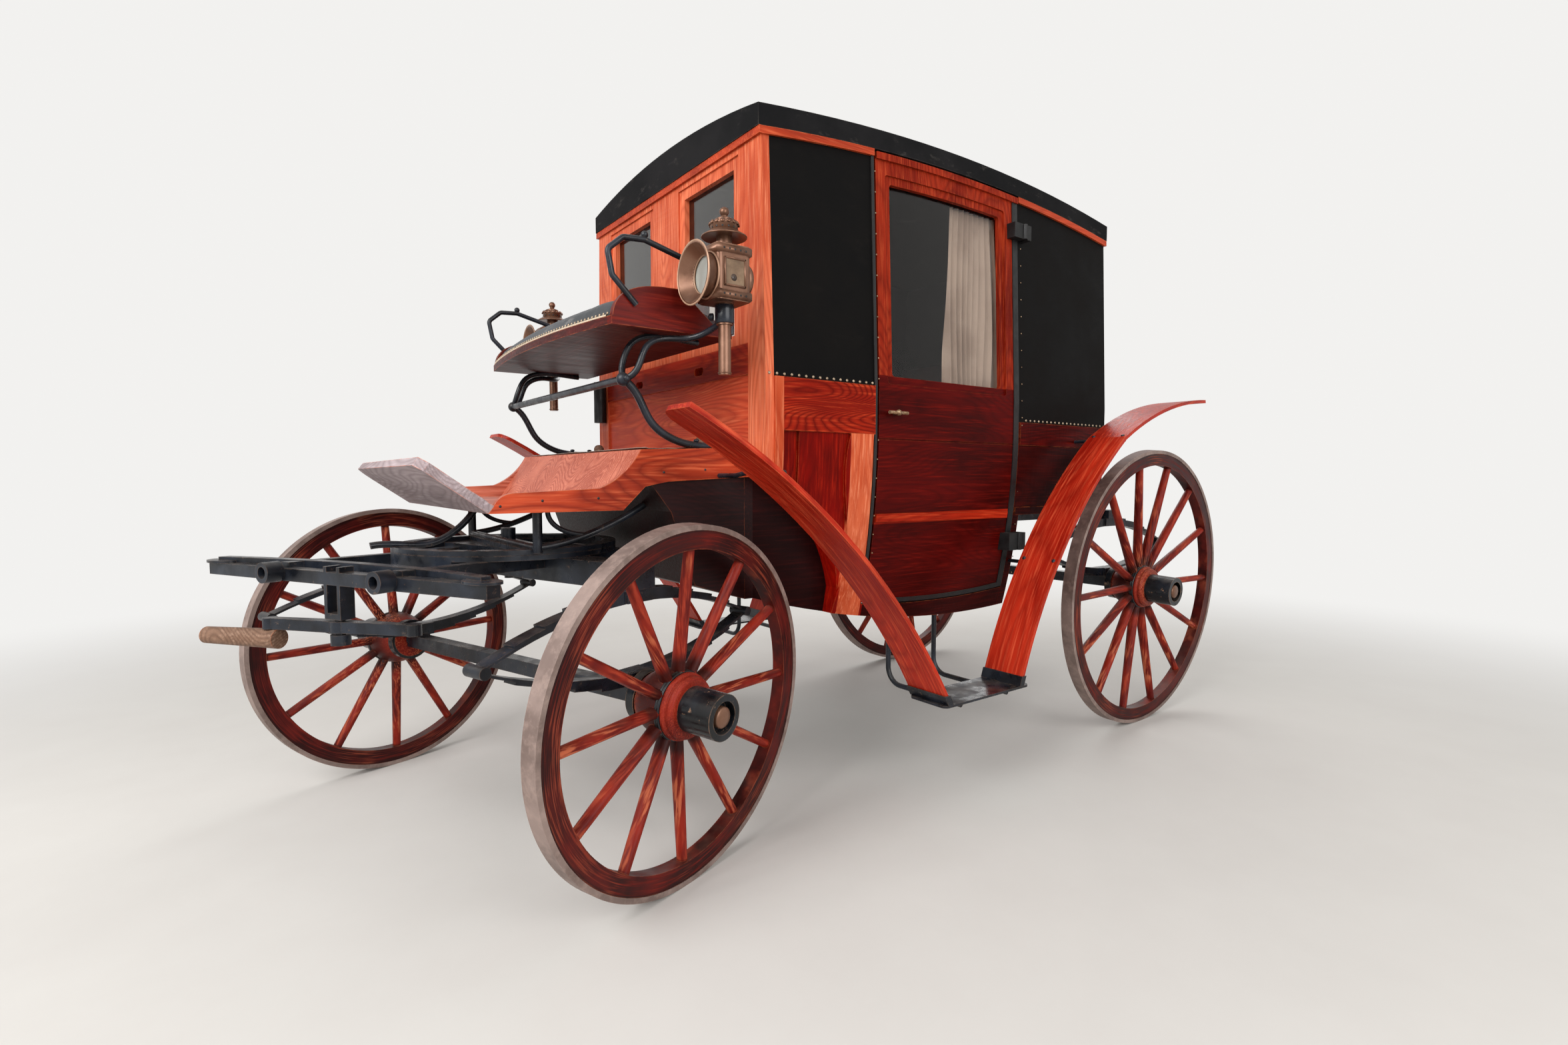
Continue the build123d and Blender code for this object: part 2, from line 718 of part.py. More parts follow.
# Doors, cut from the same wall with an even gap; the front gap is wider because the edge swings
door_space = door_outline(DOOR_FRONT - DOOR_FRONT_GAP, DOOR_REAR + DOOR_GAP, 0)
door_sky = above_eave(DOOR_GAP)
door_cornice = skin(above_eave(DOOR_GAP + CORNICE_HEIGHT), CORNICE_DEPTH, WALL)
moulding_outline = left_region(
    (DOOR_FRONT - DOOR_FRONT_GAP, MOULDING_FRONT_Z[0]),
    (DOOR_FRONT - DOOR_FRONT_GAP, MOULDING_FRONT_Z[1]),
    (MOULDING_REAR_X, MOULDING_REAR_Z[1]),
    (MOULDING_REAR_X, MOULDING_REAR_Z[0]),
)
door_moulding = skin(moulding_outline, MOULDING_PROUD, WALL)
groove_region = upright_region(DOOR_FRONT, DOOR_REAR, GROOVE_Z - GROOVE_WIDTH / 2, GROOVE_Z + GROOVE_WIDTH / 2)
door_groove = skin(groove_region, PROUD, GROOVE_DEPTH)
sash = skin(window_hole, -SASH_INSET, SASH_INSET + SASH_THICKNESS)
with BuildPart() as door_left:
    add(cab_shell.part)
    add(door_cornice)
    add(door_moulding)
    add(door_groove, mode=Mode.SUBTRACT)
    add(window_hole, mode=Mode.SUBTRACT)
    add(sash)
    add(sash_hole, mode=Mode.SUBTRACT)
    add(door_space, mode=Mode.INTERSECT)
    add(door_sky, mode=Mode.SUBTRACT)
hand_in(door_left.part, "door_left")
hand_in(mirrored(door_left.part), "door_right")

door_glass_left = skin(window_hole, -SASH_INSET - SASH_THICKNESS, SASH_INSET + SASH_THICKNESS + GLASS)
hand_in(door_glass_left, "door_glass_left")
hand_in(mirrored(door_glass_left), "door_glass_right")

# Black edging down the door's rear edge and along its foot, with both hinge leaves
edging_frame = door_outline(DOOR_FRONT - DOOR_FRONT_GAP, DOOR_REAR + DOOR_GAP + DOOR_EDGING_WIDTH, -DOOR_EDGING_BOTTOM)
edging_layer = skin(door_space, EDGING_PROUD, 0)
door_cornice_space = above_eave(DOOR_GAP + CORNICE_HEIGHT)
with BuildPart() as door_fittings_left:
    add(edging_layer)
    add(edging_frame, mode=Mode.SUBTRACT)
    with BuildSketch(Plane.XZ.offset(-HINGE_Y)):
        for low_z, high_z in hinge_heights:
            with Locations((HINGE_X, (low_z + high_z) / 2)):
                Rectangle(HINGE_LEAF, high_z - low_z, align=(Align.MIN, Align.CENTER))
    extrude(amount=HINGE_LEAF_DEPTH)
    add(outer_cab, mode=Mode.SUBTRACT)
    for low_z, high_z in hinge_heights:
        with BuildSketch(Plane.XY.offset(low_z)):
            with Locations((HINGE_X, HINGE_Y)):
                Circle(HINGE_KNUCKLE)
        extrude(amount=high_z - low_z)
    add(door_cornice_space, mode=Mode.SUBTRACT)
    add(door_left.part, mode=Mode.SUBTRACT)
hand_in(door_fittings_left.part, "door_fittings_left")
hand_in(mirrored(door_fittings_left.part), "door_fittings_right")

curtain_region = upright_region(
    CURTAIN_FRONT, CURTAIN_REAR, WINDOW_BOTTOM - CURTAIN_LAP, EAVE_FRONT_Z - WINDOW_HEADER / 2 + CURTAIN_LAP
)
curtain_left = skin(curtain_region, -WALL, WALL + CURTAIN_THICKNESS)
hand_in(curtain_left, "curtain_left")
hand_in(mirrored(curtain_left), "curtain_right")

# Lever handle with a ball on its stem
handle_middle = HANDLE_X - HANDLE_LENGTH / 2
handle_y = BELT_HALF + RAIL_RADIUS * 3
with BuildPart() as door_handle_left:
    with BuildSketch(Plane.XZ.offset(-BELT_HALF)):
        with Locations((handle_middle, HANDLE_Z)):
            Circle(RAIL_RADIUS * 0.8)
    extrude(amount=-RAIL_RADIUS * 3)
    with Locations((handle_middle, handle_y, HANDLE_Z)):
        Sphere(RAIL_RADIUS * 1.3)
    with BuildSketch(Plane.YZ.offset(HANDLE_X - HANDLE_LENGTH)):
        with Locations((handle_y, HANDLE_Z)):
            Circle(RAIL_RADIUS * 0.7)
    extrude(amount=HANDLE_LENGTH)
hand_in(door_handle_left.part, "door_handle_left")
hand_in(mirrored(door_handle_left.part), "door_handle_right")

# Boot: a dark lower body set back from the bright box and foot well above it
boot_seam = ((-228, 1052), (-252, 1057), (-300, 1066), (CAB_FRONT, ARCH_TOP_Z))
with BuildPart() as boot_lower:
    with BuildSketch(Plane.XZ):
        with BuildLine():
            Polyline((CAB_FRONT, SILL_FRONT_Z), (-390, 758), (-313, 979), *boot_seam[1:], close=True)
        make_face()
    extrude(amount=RECESS_HALF, both=True)
hand_in(boot_lower.part, "boot_lower")

toe_run = TOE_TOP_X - FOOT_FLOOR_FRONT
toe_rise = TOE_TOP_Z - FOOT_FLOOR_Z
toe_length = hypot(toe_run, toe_rise)
toe_heel_x = FOOT_FLOOR_FRONT - TOE_THICKNESS * toe_rise / toe_length
toe_heel_z = FOOT_FLOOR_Z + TOE_THICKNESS * toe_run / toe_length
with BuildPart() as boot_upper:
    with BuildSketch(Plane.XZ):
        with BuildLine():
            nose = ThreePointArc((toe_heel_x, toe_heel_z), (160, 1029), (133, 1038))
            rail = Line(nose @ 1, (-95, 1048))
            rise = ThreePointArc(rail @ 1, (-160, 1086), (BOOT_FRONT_X, BOOT_FRONT_Z))
            Polyline(
                rise @ 1,
                (CAB_FRONT, BOOT_TOP),
                boot_seam[3],
                boot_seam[2],
                boot_seam[1],
                boot_seam[0],
                (-161, FOOT_FLOOR_Z),
                (FOOT_FLOOR_FRONT, FOOT_FLOOR_Z),
                nose @ 0,
            )
        make_face()
    extrude(amount=BOOT_HALF, both=True)
    with BuildSketch(Plane.XZ):
        with BuildLine():
            Polyline(
                (BOOT_FRONT_X, ACROSS),
                (BOOT_FRONT_X, BOOT_FRONT_Z),
                (BOOT_SLOPE_FOOT_X, FOOT_FLOOR_Z + FOOT_FLOOR_THICKNESS),
                (ACROSS, FOOT_FLOOR_Z + FOOT_FLOOR_THICKNESS),
                (ACROSS, ACROSS),
                close=True,
            )
        make_face()
    extrude(amount=BOOT_HALF - BOOT_WALL, both=True, mode=Mode.SUBTRACT)
hand_in(boot_upper.part, "boot_upper")

# Sloping toe board, one top corner rounded and the other clipped
toe_normal = (toe_rise / toe_length, 0, -toe_run / toe_length)
toe_plane = Plane(origin=(FOOT_FLOOR_FRONT, 0, FOOT_FLOOR_Z), x_dir=(0, 1, 0), z_dir=toe_normal)
with BuildPart() as toe_board:
    with BuildSketch(toe_plane):
        with BuildLine():
            corner = RadiusArc(
                (-BOOT_HALF + TOE_CORNER, toe_length), (-BOOT_HALF, toe_length - TOE_CORNER), -TOE_CORNER
            )
            Polyline(
                corner @ 1,
                (-BOOT_HALF, 0),
                (BOOT_HALF, 0),
                (BOOT_HALF, toe_length - TOE_CHIP),
                (BOOT_HALF - TOE_CHIP, toe_length),
                corner @ 0,
            )
        make_face()
    extrude(amount=-TOE_THICKNESS)
hand_in(toe_board.part, "toe_board")


# Seat seen from above, its front edge bowed, smaller by gap round the front and sides
def seat_outline(gap):
    with BuildSketch() as outline:
        with BuildLine():
            front_x = SEAT_FRONT - gap
            bow = ThreePointArc(
                (front_x, -SEAT_HALF + gap), (front_x + SEAT_BOW, 0), (front_x, SEAT_HALF - gap)
            )
            Polyline(bow @ 1, (SEAT_BACK, SEAT_HALF - gap), (SEAT_BACK, -SEAT_HALF + gap), bow @ 0)
        make_face()
    return outline.sketch


# Driver's seat: a board with swept side panels, a cushion, irons and hand rails
seat_top = SEAT_Z + SEAT_BOARD
seat_plan = seat_outline(0)
cushion_plan = seat_outline(SEAT_SIDE + CUSHION_GAP)
with BuildPart() as driver_seat:
    with BuildSketch(Plane.XZ):
        with BuildLine():
            wing = Spline((-122, seat_top), (-126, 1526), (-150, 1561), (-190, 1583), (-253, 1595), (-324, SEAT_SIDE_TOP))
            Polyline(wing @ 1, (-441, seat_top), wing @ 0)
        make_face()
    extrude(amount=SEAT_HALF, both=True)
    with BuildSketch(Plane.XZ):
        Rectangle(2 * ACROSS, 2 * SKY)
    extrude(amount=SEAT_HALF - SEAT_SIDE, both=True, mode=Mode.SUBTRACT)
    with BuildSketch(Plane.XY.offset(SEAT_Z)):
        add(seat_plan)
    extrude(amount=SEAT_BOARD)
hand_in(driver_seat.part, "driver_seat")

with BuildPart() as driver_cushion:
    with BuildSketch(Plane.XY.offset(seat_top)):
        add(cushion_plan)
    extrude(amount=SEAT_CUSHION)
    fillet(driver_cushion.faces().sort_by(Axis.Z)[-1].edges().sort_by(Axis.X)[1:], radius=SEAT_CUSHION / 3)
hand_in(driver_cushion.part, "driver_cushion")


def rod(points, radius, bend=0):
    """Round iron bar through the points, each corner eased to the given radius."""
    with BuildPart() as bar:
        with BuildLine() as run:
            if bend:
                FilletPolyline(*points, radius=bend)
            else:
                Polyline(*points)
        with BuildSketch(Plane(origin=run.line @ 0, z_dir=run.line % 0)):
            Circle(radius)
        sweep()
    return bar.part


def curved_rod(points, radius):
    with BuildPart() as bar:
        with BuildLine() as run:
            Spline(*points)
        with BuildSketch(Plane(origin=run.line @ 0, z_dir=run.line % 0)):
            Circle(radius)
        sweep()
    return bar.part


# Lamps: socket tube, square body, chimney with a flared cap, and a bell that holds the lens
with BuildPart() as lamps:
    for side in (1, -1):
        lamp_profile = (
            # radius, z
            (0, LAMP_TUBE_BOTTOM),
            (LAMP_TUBE_RADIUS, LAMP_TUBE_BOTTOM),
            (LAMP_TUBE_RADIUS, LAMP_SOCKET_BOTTOM),
            (LAMP_SOCKET_RADIUS, LAMP_SOCKET_BOTTOM),
            (LAMP_SOCKET_RADIUS, LAMP_BODY_BOTTOM),
            (LAMP_CHIMNEY_RADIUS, LAMP_BODY_BOTTOM),
            (LAMP_CHIMNEY_RADIUS, LAMP_BRIM_Z),
            (LAMP_BRIM_RADIUS, LAMP_BRIM_Z - 4),
            (LAMP_BRIM_RADIUS, LAMP_BRIM_Z),
            (LAMP_CROWN_RADIUS, LAMP_CROWN_Z - 8),
            (LAMP_CROWN_RADIUS, LAMP_CROWN_Z + 14),
            (8, LAMP_CROWN_Z + 22),
            (12, LAMP_TOP - 12),
            (0, LAMP_TOP),
        )
        with BuildSketch(Plane(origin=(LAMP_X, side * LAMP_Y, 0), x_dir=(1, 0, 0), z_dir=(0, -1, 0))):
            with BuildLine():
                Polyline(*lamp_profile, close=True)
            make_face()
        revolve(axis=Axis((LAMP_X, side * LAMP_Y, 0), (0, 0, 1)))
        with BuildSketch(Plane(origin=(LAMP_X, side * LAMP_Y, LAMP_BODY_BOTTOM))):
            RectangleRounded(LAMP_SIDE, LAMP_SIDE, LAMP_SIDE / 8)
        extrude(amount=LAMP_BODY_TOP - LAMP_BODY_BOTTOM)
        bell_back = LAMP_X + LAMP_SIDE / 2
        with BuildSketch(Plane(origin=(bell_back, side * LAMP_Y, BELL_Z), x_dir=(1, 0, 0), z_dir=(0, -1, 0))):
            with BuildLine():
                flare = ThreePointArc(
                    (0, BELL_THROAT + 6), (BELL_LENGTH / 2, BELL_THROAT + 10), (BELL_LENGTH, BELL_RADIUS)
                )
                Polyline(
                    flare @ 1, (BELL_LENGTH, BELL_RADIUS - 6), (LENS_THICKNESS * 2, BELL_THROAT), (0, BELL_THROAT), flare @ 0
                )
            make_face()
        revolve(axis=Axis((bell_back, side * LAMP_Y, BELL_Z), (1, 0, 0)))
hand_in(lamps.part, "lamps")

with BuildPart() as lamp_lenses:
    with BuildSketch(Plane.YZ.offset(LAMP_X + LAMP_SIDE / 2)):
        with Locations((LAMP_Y, BELL_Z), (-LAMP_Y, BELL_Z)):
            Circle(BELL_THROAT)
    extrude(amount=LENS_THICKNESS)
hand_in(lamp_lenses.part, "lamp_lenses")

# Irons of the left side; the right ones mirror them
joint = (IRON_JOINT_X, IRON_Y, IRON_JOINT_Z)
rail_y = SEAT_HALF + RAIL_RADIUS - 2
lower_iron = curved_rod(
    (
        joint,
        (-212, IRON_Y, 1308),
        (-256, IRON_Y, 1232),
        (-316, IRON_Y, 1190),
        (-385, IRON_Y, 1172),
        (IRON_FOOT_X, IRON_Y, 1176),
    ),
    ROD_RADIUS,
)
seat_iron = curved_rod(
    (
        joint,
        (-188, IRON_Y - 24, 1411),
        (-214, IRON_Y - 24, 1452),
        (-258, IRON_Y - 24, SEAT_Z - ARM_ROD_RADIUS + 1),
        (IRON_HEAD_X, IRON_Y - 24, SEAT_Z - ARM_ROD_RADIUS + 1),
    ),
    ARM_ROD_RADIUS,
)
lamp_iron = curved_rod(
    (
        joint,
        (-206, LAMP_IRON_Y, 1378),
        (-233, LAMP_IRON_Y, 1437),
        (-285, LAMP_IRON_Y, 1463),
        (-350, SEAT_HALF, 1467),
        (-384, SEAT_HALF + 50, 1484),
        (LAMP_X, LAMP_Y, LAMP_SOCKET_BOTTOM + LAMP_SOCKET_RADIUS),
    ),
    ARM_ROD_RADIUS,
)
hand_rail = rod(
    (
        (-186, rail_y, 1536),
        (-118, rail_y, 1604),
        (-106, rail_y, 1668),
        (-150, rail_y, 1706),
        (-212, rail_y, 1710),
        (-334, rail_y, 1679),
        (-440, rail_y, 1634),
        (-484, rail_y, 1560),
        (-484, rail_y, SEAT_Z + SEAT_BOARD / 2),
    ),
    RAIL_RADIUS,
    18,
)
with BuildPart() as seat_irons:
    for iron in (lower_iron, seat_iron, lamp_iron, hand_rail):
        add(iron)
    with Locations(joint):
        Sphere(ROD_RADIUS * 1.7)
    with Locations((-212, rail_y, 1710 + RAIL_RADIUS + KNOB_RADIUS / 2)):
        Sphere(KNOB_RADIUS)
    mirror(about=Plane.XZ)
    with BuildSketch(Plane.XZ.offset(-IRON_Y)):
        with Locations((IRON_JOINT_X, IRON_JOINT_Z)):
            Circle(ROD_RADIUS)
    extrude(amount=2 * IRON_Y)
    for solid in (driver_seat, boot_upper, lamps):
        add(solid.part, mode=Mode.SUBTRACT)
hand_in(seat_irons.part, "seat_irons")

# Tube for the whip, strapped to the front wall
with BuildPart() as whip_socket:
    with BuildSketch(Plane.XY.offset(WHIP_BOTTOM)):
        with Locations((SOCKET_X, SOCKET_Y)):
            Circle(WHIP_RADIUS)
    extrude(amount=WHIP_TOP - WHIP_BOTTOM)
    with BuildSketch(Plane.XY.offset(WHIP_TOP)):
        with Locations((SOCKET_X, SOCKET_Y)):
            Circle(WHIP_RADIUS * 0.7)
    extrude(amount=(WHIP_BOTTOM - WHIP_TOP) / 2, mode=Mode.SUBTRACT)
    add(front_section, mode=Mode.SUBTRACT)
hand_in(whip_socket.part, "whip_socket")


# Mudguard board on the left: a bent plank from the step up over a wheel, wider and thicker by margin
def guard_board(arcs, margin):
    with BuildPart() as plank:
        with BuildLine(Plane.XZ.offset(-GUARD_INNER_Y - GUARD_WIDTH / 2)) as run:
            for start, middle, end in arcs:
                ThreePointArc(start, middle, end)
        with BuildSketch(Plane(origin=run.line @ 0, x_dir=(0, 1, 0), z_dir=run.line % 0)):
            Rectangle(GUARD_WIDTH + 2 * margin, GUARD_THICKNESS + 2 * margin)
        sweep()
        split(bisect_by=Plane.XY.offset(STEP_Z + STEP_THICKNESS), keep=Keep.TOP)
    return plank.part


front_guard_arcs = (((-180, 1250), (-640, 940), (-1124, 338)),)
rear_guard_arcs = (((-1478, 338), (-1711, 800), (-2130, 1232)), ((-2130, 1232), (-2420, 1352), (-2790, 1414)))
front_plank = guard_board(front_guard_arcs, 0)
rear_plank = guard_board(rear_guard_arcs, 0)

# The front boards' tips are rounded on the inner side
with BuildPart() as front_mudguards:
    add(front_plank)
    tip_edges = front_mudguards.edges().filter_by(lambda edge: edge.length < GUARD_THICKNESS * 1.1)
    fillet(tip_edges.sort_by(Axis.X)[-2:].sort_by(Axis.Y)[0], radius=GUARD_TIP_RADIUS)
    mirror(about=Plane.XZ)
hand_in(front_mudguards.part, "front_mudguards")

with BuildPart() as rear_mudguards:
    add(rear_plank)
    mirror(about=Plane.XZ)
hand_in(rear_mudguards.part, "rear_mudguards")

# Steps with hangers from the sill, rounded plates that reach from guard to guard
step_hangers = []
for hanger_x in STEP_HANGER_X:
    hanger_points = (
        (hanger_x, SILL_HALF - HANGER_RADIUS * 2, SILL_MIDDLE_Z + HANGER_RADIUS * 3),
        (hanger_x, SILL_HALF - HANGER_RADIUS * 2, STEP_Z - HANGER_RADIUS + 1),
        (hanger_x, GUARD_INNER_Y + GUARD_WIDTH - 20, STEP_Z - HANGER_RADIUS + 1),
    )
    step_hangers.append(rod(hanger_points, HANGER_RADIUS, 60))
with BuildPart() as steps:
    with BuildSketch(Plane.XY.offset(STEP_Z)):
        with Locations(((STEP_FRONT + STEP_REAR) / 2, GUARD_INNER_Y + GUARD_WIDTH / 2)):
            RectangleRounded(STEP_FRONT - STEP_REAR, GUARD_WIDTH, 20)
    extrude(amount=STEP_THICKNESS)
    for hanger in step_hangers:
        add(hanger)
    add(side_lower_left.part, mode=Mode.SUBTRACT)
    mirror(about=Plane.XZ)
hand_in(steps.part, "steps")

# Iron shoes round the feet of the boards, and the stays that hold the boards off the body
front_shoe = guard_board(front_guard_arcs, GUARD_SHOE_THICKNESS)
rear_shoe = guard_board(rear_guard_arcs, GUARD_SHOE_THICKNESS)
guard_reach = GUARD_INNER_Y + GUARD_WIDTH - 15
guard_stays = (
    rod(((-468, BOOT_HALF - 3, 1083), (-468, 600, 1083), (-468, 650, 1090), (-468, guard_reach, 1090)), BRACKET_RADIUS, 20),
    rod(((-1790, 560, 746), (-1790, 640, 746), (-1712, 700, 762), (-1712, guard_reach, 762)), BRACKET_RADIUS, 20),
    rod(((-2150, 570, 1226), (-2150, guard_reach, 1226)), BRACKET_RADIUS),
)
step_top = STEP_Z + STEP_THICKNESS
with BuildPart() as guard_irons:
    add(front_shoe)
    add(rear_shoe)
    split(bisect_by=Plane.XY.offset(step_top + GUARD_SHOE), keep=Keep.BOTTOM)
    for stay in guard_stays:
        add(stay)
    for solid in (front_plank, rear_plank, side_lower_left.part, boot_upper.part):
        add(solid, mode=Mode.SUBTRACT)
    mirror(about=Plane.XZ)
hand_in(guard_irons.part, "guard_irons")


# Full elliptic spring pair: leaves get shorter outwards, eyes at both ends, clips at both crowns
def spring_pair(x, middle_z):
    with BuildPart() as pair:
        bend_radius = (SPRING_HALF_LENGTH**2 + SPRING_RISE**2) / (2 * SPRING_RISE)
        for side in (1, -1):
            plane = Plane.XZ.offset(-side * SPRING_TRACK / 2 - SPRING_WIDTH / 2)
            with BuildSketch(plane):
                for half in (1, -1):
                    for leaf in range(LEAVES):
                        inner = bend_radius + leaf * LEAF
                        spread = degrees(asin((SPRING_HALF_LENGTH - leaf * LEAF_STEP) / bend_radius))
                        centre = (x, middle_z + half * (SPRING_RISE - bend_radius))
                        middle_angle = 90 * half
                        with BuildLine():
                            low = CenterArc(centre, inner, middle_angle - spread, 2 * spread)
                            high = CenterArc(centre, inner + LEAF, middle_angle - spread, 2 * spread)
                            Line(low @ 0, high @ 0)
                            Line(low @ 1, high @ 1)
                        make_face()
            extrude(amount=SPRING_WIDTH)
            eye_plane = Plane.XZ.offset(-side * SPRING_TRACK / 2 - EYE_LENGTH / 2)
            with BuildSketch(eye_plane):
                with Locations((x + SPRING_HALF_LENGTH, middle_z), (x - SPRING_HALF_LENGTH, middle_z)):
                    Circle(EYE_RADIUS)
            extrude(amount=EYE_LENGTH)
            clip_height = LEAF * LEAVES
            for half in (1, -1):
                with Locations((x, side * SPRING_TRACK / 2, middle_z + half * (SPRING_RISE + clip_height / 2))):
                    Box(CLIP_LENGTH, CLIP_WIDTH, clip_height)
    return pair.part


# Axle: square bed with spring pads and a cambered arm in each hub
def axle(x, radius):
    arm_z = radius * cos(radians(CAMBER))
    bed_z = arm_z + AXLE_RISE
    with BuildPart() as bar:
        with Locations((x, 0, bed_z)):
            Box(AXLE_BED, 2 * AXLE_HALF_BED, AXLE_BED)
        for side in (1, -1):
            outwards = (0, side * cos(radians(CAMBER)), -sin(radians(CAMBER)))
            reach = TRACK / 2 - AXLE_HALF_BED + AXLE_BED / 2
            arm_plane = Plane(origin=(x, side * TRACK / 2, arm_z), x_dir=(1, 0, 0), z_dir=outwards)
            with BuildSketch(arm_plane.offset(-reach)):
                Circle(ARM_RADIUS)
            extrude(amount=reach + HUB_END - HUB_WEB_DEPTH - HUB_WEB - END_PLAY)
            with Locations((x, side * SPRING_TRACK / 2, bed_z + AXLE_BED / 2 + PAD / 2)):
                Box(CLIP_LENGTH, CLIP_WIDTH, PAD)
    return bar.part


def spring_middle(radius):
    bed_top = radius * cos(radians(CAMBER)) + AXLE_RISE + AXLE_BED / 2 + PAD
    return bed_top + LEAF * LEAVES + SPRING_RISE


def spring_top(radius):
    return spring_middle(radius) + SPRING_RISE + LEAF * LEAVES


def turned(piece, angle=REST_STEER):
    with BuildPart() as placed:
        add(piece, rotation=(0, 0, angle))
    return placed.part


hand_in(turned(axle(0, FRONT_RADIUS)), "front_axle")
hand_in(turned(spring_pair(0, spring_middle(FRONT_RADIUS))), "front_springs")
hand_in(axle(-WHEELBASE, REAR_RADIUS), "rear_axle")
hand_in(spring_pair(-WHEELBASE, spring_middle(REAR_RADIUS)), "rear_springs")

# Hangers that carry the cab's tail on the rear springs
rear_top = spring_top(REAR_RADIUS)
with BuildPart() as rear_irons:
    with BuildSketch(Plane.XY.offset(rear_top)):
        with Locations((-WHEELBASE, 0)):
            Rectangle(BED_DEPTH, 2 * BED_HALF)
        with Locations((HANGER_FRONT, HANGER_Y), (HANGER_FRONT, -HANGER_Y)):
            Rectangle(WHEELBASE + HANGER_FRONT, HANGER_WIDTH, align=(Align.MAX, Align.CENTER))
    extrude(amount=REAR_BOTTOM_Z - rear_top)
hand_in(rear_irons.part, "rear_irons")

# Fore-carriage frame: bed on the springs, futchells, felloe block and the lower fifth-wheel plate
bed_z = spring_top(FRONT_RADIUS)
bed_top = bed_z + BED_HEIGHT
splinter_frame = Plane(origin=(SPLINTER_X, 0, 0), x_dir=(cos(radians(SPLINTER_YAW)), sin(radians(SPLINTER_YAW)), 0), z_dir=(0, 0, 1))
with BuildPart() as futchells:
    with BuildSketch(Plane.XY.offset(bed_top - FUTCHELL_HEIGHT)):
        with Locations((FUTCHELL_REAR, FUTCHELL_Y), (FUTCHELL_REAR, -FUTCHELL_Y)):
            Rectangle(SPLINTER_X + ACROSS, FUTCHELL_WIDTH, align=(Align.MIN, Align.CENTER))
        with Locations((FUTCHELL_REAR, 0)):
            Rectangle(FUTCHELL_WIDTH, 2 * FUTCHELL_Y + FUTCHELL_WIDTH)
    extrude(amount=FUTCHELL_HEIGHT)
    split(bisect_by=Plane(origin=splinter_frame.origin, z_dir=splinter_frame.x_dir), keep=Keep.BOTTOM)
with BuildPart() as fore_frame:
    with BuildSketch(Plane.XY.offset(bed_z)):
        Rectangle(BED_DEPTH, 2 * BED_HALF)
    extrude(amount=BED_HEIGHT)
    add(futchells.part)
    with BuildSketch(Plane.XY.offset(bed_top - FELLOE_BLOCK_DROP)):
        Circle(RING_RADIUS)
        Circle(RING_RADIUS - RING_WIDTH, mode=Mode.SUBTRACT)
        with Locations((RING_RADIUS, 0)):
            Rectangle(RING_RADIUS, 2 * FELLOE_BLOCK_HALF, mode=Mode.INTERSECT)
    extrude(amount=FELLOE_BLOCK_DROP)
    with BuildSketch(Plane.XY.offset(bed_top)):
        Circle(RING_RADIUS)
        Circle(RING_RADIUS - RING_WIDTH, mode=Mode.SUBTRACT)
        Rectangle(BED_DEPTH, 2 * RING_RADIUS - RING_WIDTH)
    extrude(amount=RING_THICKNESS)
    with BuildSketch(Plane.XY.offset(bed_z)):
        Circle(KINGPIN_RADIUS + KINGPIN_CLEARANCE)
    extrude(amount=BED_HEIGHT + RING_THICKNESS, mode=Mode.SUBTRACT)

# Upper fifth wheel under the boot: ring, kingpin with its boss, cross rod, posts and stays
upper_z = bed_top + RING_THICKNESS + PLATE_GAP
ring_top = upper_z + RING_THICKNESS
stay_z = ring_top + STAY_RADIUS / 2
post_bottom = stay_z - STAY_RADIUS * 1.4
front_stay = curved_rod(
    ((385, 0, stay_z), (303, 0, stay_z), (226, 0, stay_z), (167, 0, 909), (120, 0, 951), (86, 0, FOOT_FLOOR_Z + 12)),
    STAY_RADIUS,
)
rear_stay = curved_rod(
    (
        (CROSS_ROD_X, POST_Y, stay_z),
        (-60, POST_Y, 895),
        (-142, POST_Y, 920),
        (-241, POST_Y, 963),
        (-301, POST_Y, 996),
        (-340, POST_Y, 1020),
    ),
    STAY_RADIUS,
)
scroll = curved_rod(
    ((-8, POST_Y, FOOT_FLOOR_Z + 12), (-19, POST_Y, 952), (-48, POST_Y, 930), (-118, POST_Y, 913)), STAY_RADIUS * 0.7
)
with BuildPart() as upper_fifth_wheel:
    add(rear_stay)
    add(scroll)
    with BuildSketch(Plane.XY.offset(post_bottom)):
        with Locations((CROSS_ROD_X, POST_Y)):
            Circle(STAY_RADIUS * 1.3)
    extrude(amount=FOOT_FLOOR_Z - post_bottom)
    mirror(about=Plane.XZ)
    add(front_stay)
    with BuildSketch(Plane.XZ.offset(-POST_Y)):
        with Locations((CROSS_ROD_X, stay_z)):
            Circle(STAY_RADIUS)
    extrude(amount=2 * POST_Y)
    with BuildSketch(Plane.XY.offset(upper_z)):
        Circle(RING_RADIUS)
        Circle(RING_RADIUS - RING_WIDTH, mode=Mode.SUBTRACT)
        Rectangle(BED_DEPTH, 2 * RING_RADIUS - RING_WIDTH)
    extrude(amount=RING_THICKNESS)
    with BuildSketch(Plane.XY.offset(upper_z)):
        Circle(BOSS_RADIUS)
    extrude(amount=RING_THICKNESS + BOSS_HEIGHT)
    with BuildSketch(Plane.XY.offset(bed_z - BOLT_HEAD)):
        Circle(KINGPIN_RADIUS)
    extrude(amount=upper_z - bed_z + BOLT_HEAD)
    add(boot_upper.part, mode=Mode.SUBTRACT)
    add(boot_lower.part, mode=Mode.SUBTRACT)
hand_in(upper_fifth_wheel.part, "upper_fifth_wheel")

